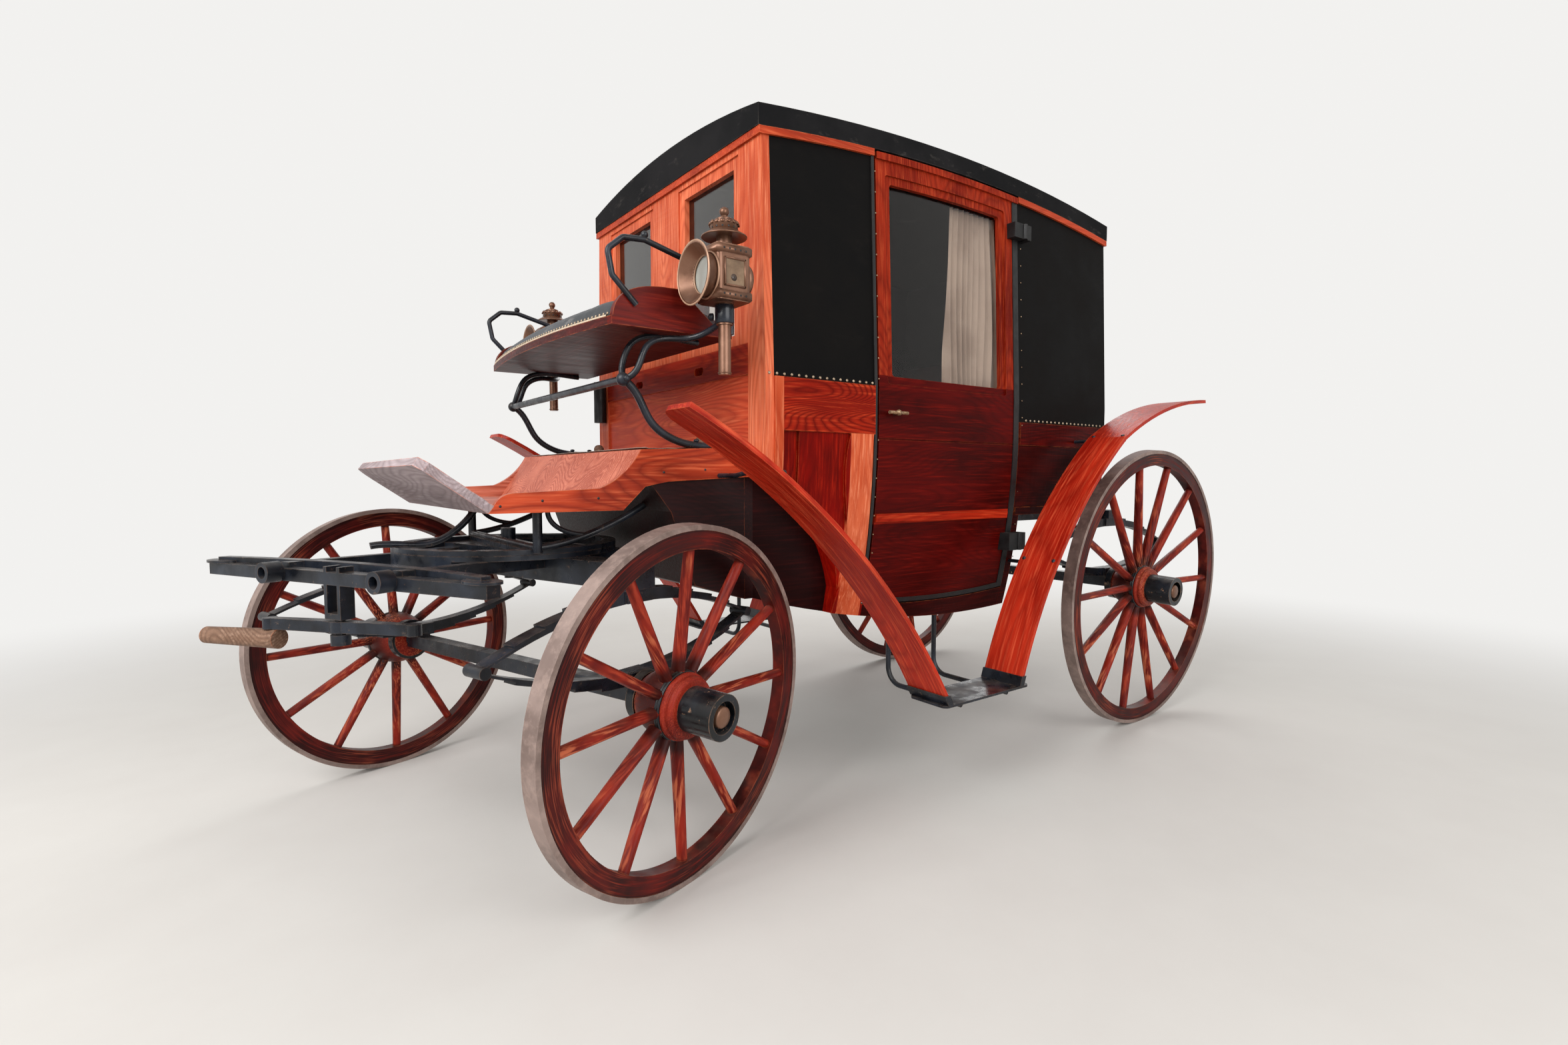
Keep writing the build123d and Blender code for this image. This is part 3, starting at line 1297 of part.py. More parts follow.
# Splinter bar and the bowed brace behind it: shaft rings, end step pads and the fork for the evener
splinter_z = bed_top - SPLINTER_DROP
brace_z = splinter_z + SPLINTER_HEIGHT
fork_low = splinter_z - FORK_DROP
bar_back = -SPLINTER_DEPTH / 2
with BuildPart() as splinter_bar:
    with BuildSketch(splinter_frame.offset(splinter_z)):
        Rectangle(SPLINTER_DEPTH, 2 * SPLINTER_HALF)
    extrude(amount=SPLINTER_HEIGHT)
    with BuildSketch(splinter_frame.offset(brace_z - BRACE_LAP)):
        with BuildLine():
            brace_back = ThreePointArc(
                (bar_back, -BRACE_HALF), (bar_back - BRACE_DEPTH - BRACE_BOW, 0), (bar_back, BRACE_HALF)
            )
            brace_front = ThreePointArc(
                (bar_back + BRACE_DEPTH, -BRACE_HALF), (bar_back - BRACE_BOW, 0), (bar_back + BRACE_DEPTH, BRACE_HALF)
            )
            Line(brace_back @ 0, brace_front @ 0)
            Line(brace_back @ 1, brace_front @ 1)
        make_face()
    extrude(amount=BRACE_HEIGHT + BRACE_LAP)
    with BuildSketch(splinter_frame.offset(brace_z)):
        with Locations((0, SPLINTER_HALF - STEP_PAD_WIDTH / 2), (0, -SPLINTER_HALF + STEP_PAD_WIDTH / 2)):
            Ellipse(STEP_PAD_WIDTH / 2, STEP_PAD_LENGTH / 2)
    extrude(amount=STEP_PAD_THICKNESS)
    with BuildSketch(splinter_frame.offset(fork_low)):
        with Locations((0, FORK_HALF_GAP + FORK_PLATE / 2), (0, -FORK_HALF_GAP - FORK_PLATE / 2)):
            Rectangle(FORK_DEPTH, FORK_PLATE)
    extrude(amount=FORK_DROP + SPLINTER_HEIGHT + BOLT_HEAD)
    with BuildSketch(splinter_frame.offset(fork_low)):
        Rectangle(FORK_DEPTH, 2 * (FORK_HALF_GAP + FORK_PLATE))
    extrude(amount=FORK_FOOT)
    bolt_low = fork_low - 2 * EVENER_GAP - EVENER_HEIGHT - BOLT_HEAD
    with BuildSketch(splinter_frame.offset(bolt_low)):
        Circle(EVENER_BOLT_RADIUS)
    extrude(amount=fork_low - bolt_low)
    with BuildSketch(splinter_frame.offset(bolt_low - BOLT_HEAD)):
        Circle(EVENER_BOLT_RADIUS * 2)
    extrude(amount=BOLT_HEAD * 2)
hand_in(turned(splinter_bar.part), "splinter_bar")
frame_cut = fore_frame.part - splinter_bar.part
hand_in(turned(frame_cut), "fore_frame")

# Sockets for a pole's or shafts' ends, welded to the front of the splinter bar
eye_z = splinter_z + SPLINTER_HEIGHT / 2 + SHAFT_EYE_Z
eye_plane = Plane(
    origin=splinter_frame.from_local_coords((-bar_back, 0, 0)),
    x_dir=splinter_frame.y_dir,
    z_dir=splinter_frame.x_dir,
)
with BuildPart() as shaft_eyes:
    with BuildSketch(eye_plane):
        with Locations((FUTCHELL_Y, eye_z), (-FUTCHELL_Y, eye_z)):
            Circle(SHAFT_EYE_RADIUS)
    extrude(amount=SHAFT_EYE_PLATE)
    with BuildSketch(eye_plane.offset(SHAFT_EYE_PLATE)):
        with Locations((FUTCHELL_Y, eye_z), (-FUTCHELL_Y, eye_z)):
            Circle(SHAFT_EYE_RADIUS)
            Circle(SHAFT_EYE_BORE, mode=Mode.SUBTRACT)
    extrude(amount=SHAFT_EYE_LENGTH - SHAFT_EYE_PLATE)
hand_in(turned(shaft_eyes.part), "shaft_eyes")

# Evener: a tapered bar that swivels on the fork's bolt, with a short end of swingletree on its tip
evener_z = fork_low - EVENER_GAP - EVENER_HEIGHT
evener_frame = splinter_frame.rotated((0, 0, EVENER_YAW))
with BuildPart() as evener:
    with BuildSketch(evener_frame.offset(evener_z)):
        with BuildLine():
            Polyline(
                (-EVENER_TIP / 2, -EVENER_REACH),
                (EVENER_TIP / 2, -EVENER_REACH),
                (EVENER_DEPTH / 2, 0),
                (EVENER_TIP / 2, EVENER_REACH),
                (-EVENER_TIP / 2, EVENER_REACH),
                (-EVENER_DEPTH / 2, 0),
                close=True,
            )
        make_face()
        with Locations((0, EVENER_REACH), (0, -EVENER_REACH)):
            Circle(EVENER_DEPTH / 2)
        Circle(EVENER_DEPTH * 0.7)
        Circle(EVENER_BOLT_RADIUS + KINGPIN_CLEARANCE, mode=Mode.SUBTRACT)
    extrude(amount=EVENER_HEIGHT)
hand_in(turned(evener.part), "evener")

with BuildPart() as swingletree_stub:
    with BuildSketch(Plane(origin=evener_frame.from_local_coords((0, STUB_OVERLAP - EVENER_REACH, evener_z - STUB_RADIUS)), z_dir=-evener_frame.y_dir)):
        Circle(STUB_RADIUS)
    extrude(amount=STUB_LENGTH, taper=STUB_TAPER)
hand_in(turned(swingletree_stub.part), "swingletree_stub")


# Wheel drawn round the z axis, with +z pointing outboard and the rim's middle at z 0
def wheel(name, radius, spokes, place):
    cone = tan(radians(CAMBER))
    half_tyre = TYRE_WIDTH / 2
    half_felloe = FELLOE_WIDTH / 2
    felloe_outer = radius - TYRE_THICKNESS
    felloe_inner = felloe_outer - FELLOE_DEPTH
    with BuildPart() as tyre:
        with BuildSketch(Plane.XZ):
            with BuildLine():
                Polyline(
                    (felloe_outer + half_tyre * cone, -half_tyre),
                    (radius + half_tyre * cone, -half_tyre),
                    (radius - half_tyre * cone, half_tyre),
                    (felloe_outer - half_tyre * cone, half_tyre),
                    close=True,
                )
            make_face()
        revolve(axis=Axis.Z)

    lean = atan2(DISH, felloe_inner)
    along = (cos(lean), 0, sin(lean))
    spoke_start = NAVE_RADIUS - 20
    spoke_end = felloe_inner + FELLOE_DEPTH / 3
    with BuildPart() as spoke:
        for reach, size in ((spoke_start, SPOKE_ROOT), (spoke_end, SPOKE_TIP)):
            foot = (reach, 0, -DISH + reach * tan(lean))
            with BuildSketch(Plane(origin=foot, x_dir=(0, 1, 0), z_dir=along)):
                Ellipse(size[1], size[0])
        loft()

    with BuildPart() as woodwork:
        with BuildSketch(Plane.XZ):
            with BuildLine():
                Polyline(
                    (felloe_inner + half_felloe * cone, -half_felloe),
                    (felloe_outer + half_felloe * cone, -half_felloe),
                    (felloe_outer - half_felloe * cone, half_felloe),
                    (felloe_inner - half_felloe * cone, half_felloe),
                    close=True,
                )
            make_face()
            with BuildLine():
                bulge = ThreePointArc(
                    (NAVE_BACK_RADIUS, -NAVE_BACK + BAND_WIDTH), (NAVE_RADIUS, -DISH), (HUB_RADIUS + 12, HUB_START)
                )
                Polyline(
                    bulge @ 1,
                    (HUB_RADIUS - HUB_WALL, HUB_START),
                    (HUB_RADIUS - HUB_WALL, HUB_END - HUB_WEB_DEPTH - HUB_WEB),
                    (ARM_RADIUS + ARM_CLEARANCE, HUB_END - HUB_WEB_DEPTH - HUB_WEB),
                    (ARM_RADIUS + ARM_CLEARANCE, -NAVE_BACK),
                    (NAVE_BACK_RADIUS - BAND_THICKNESS, -NAVE_BACK),
                    (NAVE_BACK_RADIUS - BAND_THICKNESS, -NAVE_BACK + BAND_WIDTH),
                    bulge @ 0,
                )
            make_face()
        revolve(axis=Axis.Z)
        with PolarLocations(0, spokes):
            add(spoke.part)

    with BuildPart() as hub_iron:
        with BuildSketch(Plane.XZ):
            web_back = HUB_END - HUB_WEB_DEPTH - HUB_WEB
            with BuildLine():
                Polyline(
                    (0, web_back),
                    (HUB_RADIUS - HUB_WALL, web_back),
                    (HUB_RADIUS - HUB_WALL, HUB_START),
                    (HUB_RADIUS, HUB_START),
                    (HUB_RADIUS, HUB_END),
                    (HUB_RADIUS - HUB_WALL, HUB_END),
                    (HUB_RADIUS - HUB_WALL, web_back + HUB_WEB),
                    (CAP_NUT_RADIUS, web_back + HUB_WEB),
                    (CAP_NUT_RADIUS, HUB_END - 4),
                    (0, HUB_END),
                    close=True,
                )
            make_face()
            with Locations((NAVE_BACK_RADIUS - BAND_THICKNESS, -NAVE_BACK)):
                Rectangle(BAND_THICKNESS * 2, BAND_WIDTH, align=(Align.MIN, Align.MIN))
        revolve(axis=Axis.Z)

    for piece, kind in ((tyre, "tyre"), (woodwork, "wood"), (hub_iron, "hub")):
        hand_in(piece.part.moved(place), f"{name}_{kind}")


wheel_table = (
    # name, radius, spokes, axle x, side, turn
    ("front_left_wheel", FRONT_RADIUS, FRONT_SPOKES, 0, 1, REST_STEER),
    ("front_right_wheel", FRONT_RADIUS, FRONT_SPOKES, 0, -1, REST_STEER),
    ("rear_left_wheel", REAR_RADIUS, REAR_SPOKES, -WHEELBASE, 1, 0),
    ("rear_right_wheel", REAR_RADIUS, REAR_SPOKES, -WHEELBASE, -1, 0),
)
wheel_frames = {}
for name, radius, spokes, axle_x, side, turn in wheel_table:
    outwards = Vector(0, side * cos(radians(CAMBER)), -sin(radians(CAMBER))).rotate(Axis.Z, turn)
    middle = Vector(0, side * TRACK / 2, radius * cos(radians(CAMBER))).rotate(Axis.Z, turn) + Vector(axle_x, 0, 0)
    wheel_frames[name] = Plane(origin=middle, x_dir=Vector(1, 0, 0).rotate(Axis.Z, turn), z_dir=outwards)
    wheel(name, radius, spokes, wheel_frames[name].location)

box = Compound(list(finished.values())).bounding_box()
ORIGIN_X = (box.min.X + box.max.X) / 2
ORIGIN_Y = (box.min.Y + box.max.Y) / 2
os.makedirs("parts", exist_ok=True)
for label, piece in finished.items():
    placed = piece.moved(Location((-ORIGIN_X, -ORIGIN_Y, 0)))
    placed.label = label
    export_step(placed, f"parts/{label}.step")
print("origin from kingpin", round(ORIGIN_X, 2), round(ORIGIN_Y, 2), "box", box.size)
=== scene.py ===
# %% [markdown]
# # A closed coupe carriage, dressed around its CAD frame
# The carriage stands in a coach house: varnished pine and leather above, black irons and worn red
# wheels below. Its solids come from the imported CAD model. This notebook gives each of them a finish,
# and adds what the solids leave out: upholstery, curtains, nail rows, bolts and lamp fittings.
# Everything is in metres, in the frame of the CAD model, so a piece is built where it belongs.

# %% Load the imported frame
import json
import math

import bmesh
import bpy
import numpy as np
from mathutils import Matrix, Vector, noise


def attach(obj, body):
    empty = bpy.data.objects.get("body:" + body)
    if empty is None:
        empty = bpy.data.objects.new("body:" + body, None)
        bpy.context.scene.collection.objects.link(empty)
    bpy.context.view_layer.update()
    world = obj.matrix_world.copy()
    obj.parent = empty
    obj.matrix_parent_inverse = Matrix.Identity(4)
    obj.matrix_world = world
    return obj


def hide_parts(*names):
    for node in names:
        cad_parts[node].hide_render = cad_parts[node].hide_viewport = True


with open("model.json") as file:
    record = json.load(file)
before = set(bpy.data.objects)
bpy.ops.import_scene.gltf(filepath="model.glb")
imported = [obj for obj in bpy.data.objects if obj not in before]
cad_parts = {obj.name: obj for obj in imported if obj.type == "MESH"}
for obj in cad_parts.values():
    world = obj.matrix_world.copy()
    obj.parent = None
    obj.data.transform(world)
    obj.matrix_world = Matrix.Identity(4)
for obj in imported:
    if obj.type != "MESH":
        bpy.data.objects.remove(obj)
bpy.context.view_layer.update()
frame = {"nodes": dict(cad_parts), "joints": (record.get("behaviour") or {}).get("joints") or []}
nodes = frame["nodes"]
MM = 0.001

# %% [markdown]
# ## Measuring from the kingpin
# Coach builders measure from the kingpin, the bolt that the front axle turns on. The steering joint
# of the record stands there, so all the sizes below are in millimetres from that bolt: x forward,
# y to the coach's left and z up from the ground. One small function turns them into a place in the
# frame, and nothing else has to know how the model was centred.

# %% Places in millimetres from the kingpin
joints = {joint["name"]: joint for joint in frame["joints"]}
KINGPIN_X = joints["steering"]["pos_m"][0]


def at(x, y, z):
    return Vector((KINGPIN_X + x * MM, y * MM, z * MM))


print("kingpin at x", round(KINGPIN_X, 4), "m")

# %% [markdown]
# ## The camera
# A photographer would walk round the near front wheel with a wide lens. The camera could be aimed
# by a constraint at an empty, but a plain direction is easier to read and to repeat: it stands a
# little in front of the kingpin, looks back along the body and slightly down, and isn't rolled.
# Like every object, it is data that has been linked into the scene, so one function does that.

# %% Camera
CAMERA_PLACE = (688.2, 2389, 1077.8)
CAMERA_YAW = -2.2096
CAMERA_PITCH = -0.0611
LENS_MM = 16.953
SENSOR_MM = 36
scene = bpy.context.scene


def linked(name, data):
    made = bpy.data.objects.new(name, data)
    scene.collection.objects.link(made)
    return made


camera_data = bpy.data.cameras.new("camera")
camera_data.sensor_width = SENSOR_MM
camera_data.lens = LENS_MM
camera_data.clip_start = 0.05
camera = scene.camera = linked("camera", camera_data)
level = math.cos(CAMERA_PITCH)
aim = Vector((level * math.cos(CAMERA_YAW), level * math.sin(CAMERA_YAW), math.sin(CAMERA_PITCH)))
camera.location = at(*CAMERA_PLACE)
camera.rotation_euler = aim.to_track_quat("-Z", "Y").to_euler()
scene.view_settings.view_transform = "Standard"
print("camera at", [round(v, 3) for v in camera.location], "lens", LENS_MM, "mm")

# %% [markdown]
# ## Words for shader graphs
# Every finish is a node graph. Wiring one socket at a time is long and hides the idea, so a few
# helpers say what a node reads: a value or another node's socket. Colours are written as they look
# on screen, from 0 to 255, and one function turns them into the linear light that shaders use.


# %% Shader helpers
def paint(red, green, blue):
    def linear(level):
        share = level / 255
        return share / 12.92 if share < 0.04045 else ((share + 0.055) / 1.055) ** 2.4

    return (linear(red), linear(green), linear(blue), 1)


def feed(tree, node, reads):
    for key, value in dict(reads).items():
        if isinstance(value, bpy.types.NodeSocket):
            tree.links.new(value, node.inputs[key])
        else:
            node.inputs[key].default_value = value
    return node


def add(tree, kind, reads=(), family="ShaderNode", **settings):
    made = tree.nodes.new(family + kind)
    for key, value in settings.items():
        setattr(made, key, value)
    return feed(tree, made, reads)


def maths(tree, operation, first, second=0.0):
    return add(tree, "Math", {0: first, 1: second}, operation=operation).outputs[0]


def times(tree, first, second):
    return maths(tree, "MULTIPLY", first, second)


def mix(tree, share, first, second, blend="MIX"):
    reads = {0: share, 6: first, 7: second}
    return add(tree, "Mix", reads, data_type="RGBA", blend_type=blend).outputs[2]


def between(tree, value, low, high, to_low=0.0, to_high=1.0):
    reads = {"Value": value, "From Min": low, "From Max": high, "To Min": to_low, "To Max": to_high}
    return add(tree, "MapRange", reads, interpolation_type="SMOOTHSTEP").outputs[0]


def cloud(tree, place, scale, detail=2.0, roughness=0.5, stretch=(1, 1, 1)):
    stretched = add(tree, "Mapping", {"Vector": place, "Scale": stretch}).outputs[0]
    reads = {"Vector": stretched, "Scale": scale, "Detail": detail, "Roughness": roughness}
    return add(tree, "TexNoise", reads).outputs["Fac"]


def axes(tree, place):
    return add(tree, "SeparateXYZ", {0: place}).outputs


def joined(tree, x, y, z):
    return add(tree, "CombineXYZ", {0: x, 1: y, 2: z}).outputs[0]


def shader_group(name, takes, gives):
    """A node group that takes a place and numbers, and gives numbers."""
    group = bpy.data.node_groups.new(name, "ShaderNodeTree")
    new_socket = group.interface.new_socket
    new_socket(name="Place", in_out="INPUT", socket_type="NodeSocketVector")
    for label in takes:
        new_socket(name=label, in_out="INPUT", socket_type="NodeSocketFloat")
    for label in gives:
        new_socket(name=label, in_out="OUTPUT", socket_type="NodeSocketFloat")
    return group, group.nodes.new("NodeGroupInput").outputs, group.nodes.new("NodeGroupOutput")


def placed(tree, group, reads):
    return add(tree, "Group", reads, node_tree=group).outputs


print("shader words ready")

# %% [markdown]
# ## Wood figure
# Varnished pine shows three things: rings, which are contour lines of the tree where the saw cut
# it; fine streaks along the grain; and broad clouds where the stain took more or less. Contour
# lines of a stretched, soft noise look like sawn rings, knots included, and no picture is needed.

# %% Wood figure group
wood_figure, figure_in, figure_out = shader_group(
    "wood figure", ("Rings", "Shift"), ("Rings", "Streaks", "Clouds")
)
step_aside = joined(wood_figure, *[figure_in["Shift"]] * 3)
both_places = {0: figure_in["Place"], 1: step_aside}
shifted = add(wood_figure, "VectorMath", both_places, operation="ADD").outputs[0]
trunk = cloud(wood_figure, shifted, 1.0, 1.2, 0.45, (0.8, 4.6, 4.6))
waver = cloud(wood_figure, shifted, 1.0, 3.0, 0.6, (7, 55, 55))
ring_count = times(wood_figure, trunk, figure_in["Rings"])
contour = maths(wood_figure, "ADD", ring_count, times(wood_figure, waver, 0.5))
late_wood = maths(wood_figure, "POWER", maths(wood_figure, "PINGPONG", contour, 0.5), 1.8)
figure_gives = {
    "Rings": times(wood_figure, late_wood, 3.4),
    "Streaks": cloud(wood_figure, shifted, 1.0, 4.0, 0.65, (5, 130, 130)),
    "Clouds": cloud(wood_figure, shifted, 1.0, 3.0, 0.55, (2.2, 5.5, 5.5)),
}
feed(wood_figure, figure_out, figure_gives)
print("group", wood_figure.name, "with", len(wood_figure.nodes), "nodes")

# %% [markdown]
# ## Edge wear and dust
# Paint and varnish go first at the edges, and dust settles on what faces up. An edge is where the
# rounded normal of a Bevel node differs from the true one; this works on a CAD mesh too, where
# Pointiness would need a dense, joined surface. Noise breaks both masks up, because real wear comes
# in patches. The groups put out masks only, and each finish decides what they uncover.

# %% Edge wear and dust groups
edge_wear, wear_in, wear_out = shader_group("edge wear", ("Patch", "Amount"), ("Mask",))
rounded = add(edge_wear, "Bevel", {"Radius": 0.004}, samples=4).outputs[0]
facing = add(edge_wear, "NewGeometry").outputs["Normal"]
normals = {0: rounded, 1: facing}
agreement = add(edge_wear, "VectorMath", normals, operation="DOT_PRODUCT").outputs["Value"]
edge = between(edge_wear, agreement, 0.995, 0.80)
patch_reads = {"Vector": wear_in["Place"], "Scale": wear_in["Patch"], "Detail": 4.0, "Roughness": 0.7}
broken = between(edge_wear, add(edge_wear, "TexNoise", patch_reads).outputs["Fac"], 0.36, 0.62)
patchy_edge = times(edge_wear, edge, broken)
feed(edge_wear, wear_out, {"Mask": times(edge_wear, patchy_edge, wear_in["Amount"])})

dust, dust_in, dust_out = shader_group("dust", ("Amount",), ("Mask",))
upward = between(dust, axes(dust, add(dust, "NewGeometry").outputs["Normal"])[2], 0.35, 0.98)
settled = between(dust, cloud(dust, dust_in["Place"], 14.0, 5.0, 0.65), 0.32, 0.7)
feed(dust, dust_out, {"Mask": times(dust, times(dust, upward, settled), dust_in["Amount"])})


def worn_edges(tree, place, patch, amount):
    return placed(tree, edge_wear, {"Place": place, "Patch": patch, "Amount": amount})["Mask"]


def dusted(tree, place, colour, amount, tone):
    mask = placed(tree, dust, {"Place": place, "Amount": amount})["Mask"]
    return mix(tree, mask, colour, paint(*tone))


print("groups", edge_wear.name, "and", dust.name)

# %% [markdown]
# ## Starting a finish
# Each finish starts with a Principled shader and the object's own coordinates. They are the frame's
# metres, because every piece sits at the origin, so one plank's grain runs on into its neighbour.


# %% A material and its ends
finishes = {}


def finish(name, **constants):
    material = finishes[name] = bpy.data.materials.new(name)
    material.use_nodes = True
    tree = material.node_tree
    shader = tree.nodes["Principled BSDF"]
    feed(tree, shader, {key.replace("_", " "): value for key, value in constants.items()})
    return tree, shader, add(tree, "TexCoord").outputs["Object"]


def relief(tree, shader, height, strength, distance):
    bump = add(tree, "Bump", {"Height": height, "Strength": strength, "Distance": distance}).outputs[0]
    feed(tree, shader, {"Normal": bump})


def along(tree, place, axis):
    x, y, z = axes(tree, place)
    return {"x": place, "y": joined(tree, y, x, z), "z": joined(tree, z, y, x)}[axis]


def round_centre(tree, place, centre):
    """Coordinates that run round an arc in the XZ plane: along it, across it, and out from it."""
    x, y, z = axes(tree, place)
    off_x = maths(tree, "SUBTRACT", x, centre.x)
    off_z = maths(tree, "SUBTRACT", z, centre.z)
    squares = [maths(tree, "POWER", off, 2.0) for off in (off_x, off_z)]
    reach = maths(tree, "SQRT", maths(tree, "ADD", *squares))
    run = times(tree, maths(tree, "ARCTAN2", off_z, off_x), reach)
    return joined(tree, run, y, reach)


print("finishes start here")

# %% [markdown]
# ## Varnished pine
# The joinery is softwood under an orange-red varnish: dark lines where the rings are, paler streaks
# between them, darker clouds, which gather near the joints on the coach and lie at random here, and
# a soft shine from the varnish. One function mixes three tones of the same wood, and each part of
# the coach gives its own tones and grain direction.


# %% Varnished pine
WORN_PINE = paint(208, 110, 62)
NEXT_PLANK = 3.1
X, Y, Z = 0, 1, 2
SKY_HIGH = 9000
ZONE_EDGE = 2


def pine(tree, grain, tones, rings, count, shift):
    dark, middle, light = (paint(*tone) for tone in tones)
    figure = placed(tree, wood_figure, {"Place": grain, "Rings": count, "Shift": shift})
    stained = mix(tree, between(tree, figure["Clouds"], 0.3, 0.7), dark, middle)
    streaked = mix(tree, between(tree, figure["Streaks"], 0.45, 0.75, 0.0, 0.7), stained, light)
    ring_tone = mix(tree, 0.55, dark, stained, "MULTIPLY")
    return mix(tree, times(tree, figure["Rings"], rings), streaked, ring_tone), figure


def varnished(
    name, tones, axis="x", rings=0.5, count=46.0, shift=0.0, wear=0.5, centre=None,
    zones=(), painted_shade_zones=(), rough=0.42, shine=0.12,
):
    """zones and the painted shade zones hold rows of: zone, tones, axis of the grain, rings and, at will,
    count. The painted shade zones go on after the edge wear.
    """
    tree, shader, place = finish(name, Coat_Weight=0.03, Coat_Roughness=0.3, Specular_IOR_Level=shine)
    grain = round_centre(tree, place, centre) if centre else along(tree, place, axis)
    colour, figure = pine(tree, grain, tones, rings, count, shift)

    def zoned(colour, parts):
        for zone, zone_tones, zone_axis, zone_rings, *zone_count in parts:
            zone_grain = along(tree, place, zone_axis)
            zone_shift = shift + NEXT_PLANK
            other, _ = pine(tree, zone_grain, zone_tones, zone_rings, *(zone_count or [count]), zone_shift)
            colour = mix(tree, zone(tree, place), colour, other)
        return colour

    worn = worn_edges(tree, place, 26.0, wear)
    # The painted shade zones go on last, over the worn edges.
    colour = zoned(mix(tree, worn, zoned(colour, zones), WORN_PINE), painted_shade_zones)
    dullness = between(tree, figure["Streaks"], 0.2, 0.8, rough - 0.08, rough + 0.14)
    feed(tree, shader, {"Base Color": colour, "Roughness": dullness})
    height = maths(tree, "ADD", times(tree, figure["Rings"], 0.5), figure["Streaks"])
    relief(tree, shader, height, 0.35, 0.0006)


def within(axis, low, high):
    """A zone between two places on an axis; across the coach it is the same on both sides."""

    def zone(tree, place):
        offset = at(0, 0, 0)[axis]
        value = axes(tree, place)[axis]
        if axis == Y:
            value = maths(tree, "ABSOLUTE", value)

        def step(border, edge):
            return between(tree, value, offset + (border - edge) * MM, offset + (border + edge) * MM)

        return times(tree, step(low, ZONE_EDGE), step(high, -ZONE_EDGE))

    return zone


def above(height):
    return within(Z, height, SKY_HIGH)


def below(height):
    return within(Z, -SKY_HIGH, height)


def both(one, other):
    return lambda tree, place: times(tree, one(tree, place), other(tree, place))


POST = ((180, 70, 38), (220, 110, 72), (244, 152, 112))
BRIGHT = ((138, 38, 14), (188, 66, 32), (220, 106, 66))
PLANK = ((122, 20, 8), (176, 42, 18), (208, 76, 40))
SALMON = ((168, 82, 60), (206, 120, 94), (230, 156, 132))
RUSSET = ((176, 50, 24), (220, 82, 46), (240, 126, 86))
FRAME = ((104, 18, 7), (150, 42, 20), (186, 76, 42))
DEEP = ((50, 3, 2), (82, 6, 4), (112, 18, 10))
# These rear tones are painted shade, for the rear quarter and the sill under the door.
REAR_PAINTED_SHADE = ((30, 2, 2), (50, 4, 3), (78, 12, 7))
# These darkest tones are painted shade, for recesses and for faces under the body.
PAINTED_SHADE_TONES = ((24, 6, 6), (38, 9, 9), (54, 14, 12))
PANEL = ((90, 6, 2), (140, 10, 3), (168, 32, 12))
print("pine tones ready")

# %% [markdown]
# ## Which plank gets which tones
# One CAD solid can hold several planks: the cab side has a belt plank, a corner post, a turned
# pillar and thin panels. They could be cut apart, but the solid is right as it stands, so the finish
# itself is split into zones by place. Each zone has its own tones and its own grain direction. Some
# zones are painted shade: the rear quarter with its belt, the sill under the door, the recess inside
# the wheel arch and the front wall below the boot are darkened for the shade they stand in, and the
# floor and the lower boot are dark all over for the same reason.

# %% Joinery finishes
CAB_FRONT = -540
FRONT_POST_END = -626
BELT_SPAN = (-1010, -590)
PILLAR = (-1006, -892)
DOOR_SPAN = (-1768, -1016)
REAR_SPAN = (-2400, -1768)
BELT_BOTTOM = 1218
REAR_BELT_BOTTOM = 1203
RECESS_FACE = 504
DOOR_RAIL = (921, 955)
DOOR_GLASS_FOOT = 1414
FRONT_RAIL_FOOT, FRONT_GLASS_FOOT, FRONT_SHADE = 1388, 1482, 1079
FRONT_POST_Y = (520, 700)
BOOT_SIDE_Y = (507, 560)
SEAT_BOARD_Y = (0, 527)
SEAT_RED = ((58, 8, 5), (96, 16, 9), (136, 38, 20))
SEAT_UNDER = ((48, 10, 9), (76, 18, 15), (108, 38, 32))
TOE_GREY = ((136, 120, 121), (174, 158, 160), (202, 188, 191))

side_zones = (
    # Painted shade: the rear quarter and the sill under the door get the darkest red.
    (within(X, *REAR_SPAN), REAR_PAINTED_SHADE, "x", 0.4),
    (within(X, *DOOR_SPAN), REAR_PAINTED_SHADE, "x", 0.4),
    # Painted shade: the belt plank of the rear quarter gets deep tones instead of the plank's own.
    (both(above(REAR_BELT_BOTTOM), within(X, *REAR_SPAN)), DEEP, "x", 0.7),
    (both(above(BELT_BOTTOM), within(X, *BELT_SPAN)), PLANK, "x", 0.95, 62),
    (both(below(BELT_BOTTOM), within(X, *PILLAR)), POST, "z", 0.4),
    (within(X, FRONT_POST_END, CAB_FRONT), POST, "z", 0.5),
)
# Painted shade: the recessed lower side inside the wheel arch is darkened.
recess = ((within(Y, 0, RECESS_FACE), PAINTED_SHADE_TONES, "x", 0.3),)
varnished("side_pine", PANEL, "z", 0.35, 30, zones=side_zones, painted_shade_zones=recess, wear=0.45, shine=0.04)
door_zones = ((within(Z, *DOOR_RAIL), PLANK, "x", 0.4), (above(DOOR_GLASS_FOOT), FRAME, "z", 0.5))
varnished("door_pine", DEEP, rings=0.35, shift=7.0, zones=door_zones, wear=0.15, shine=0.04)
front_zones = (
    (above(FRONT_RAIL_FOOT), PLANK, "y", 0.5),
    (above(FRONT_GLASS_FOOT), POST, "z", 0.5),
    (within(Y, *FRONT_POST_Y), POST, "z", 0.5),
)
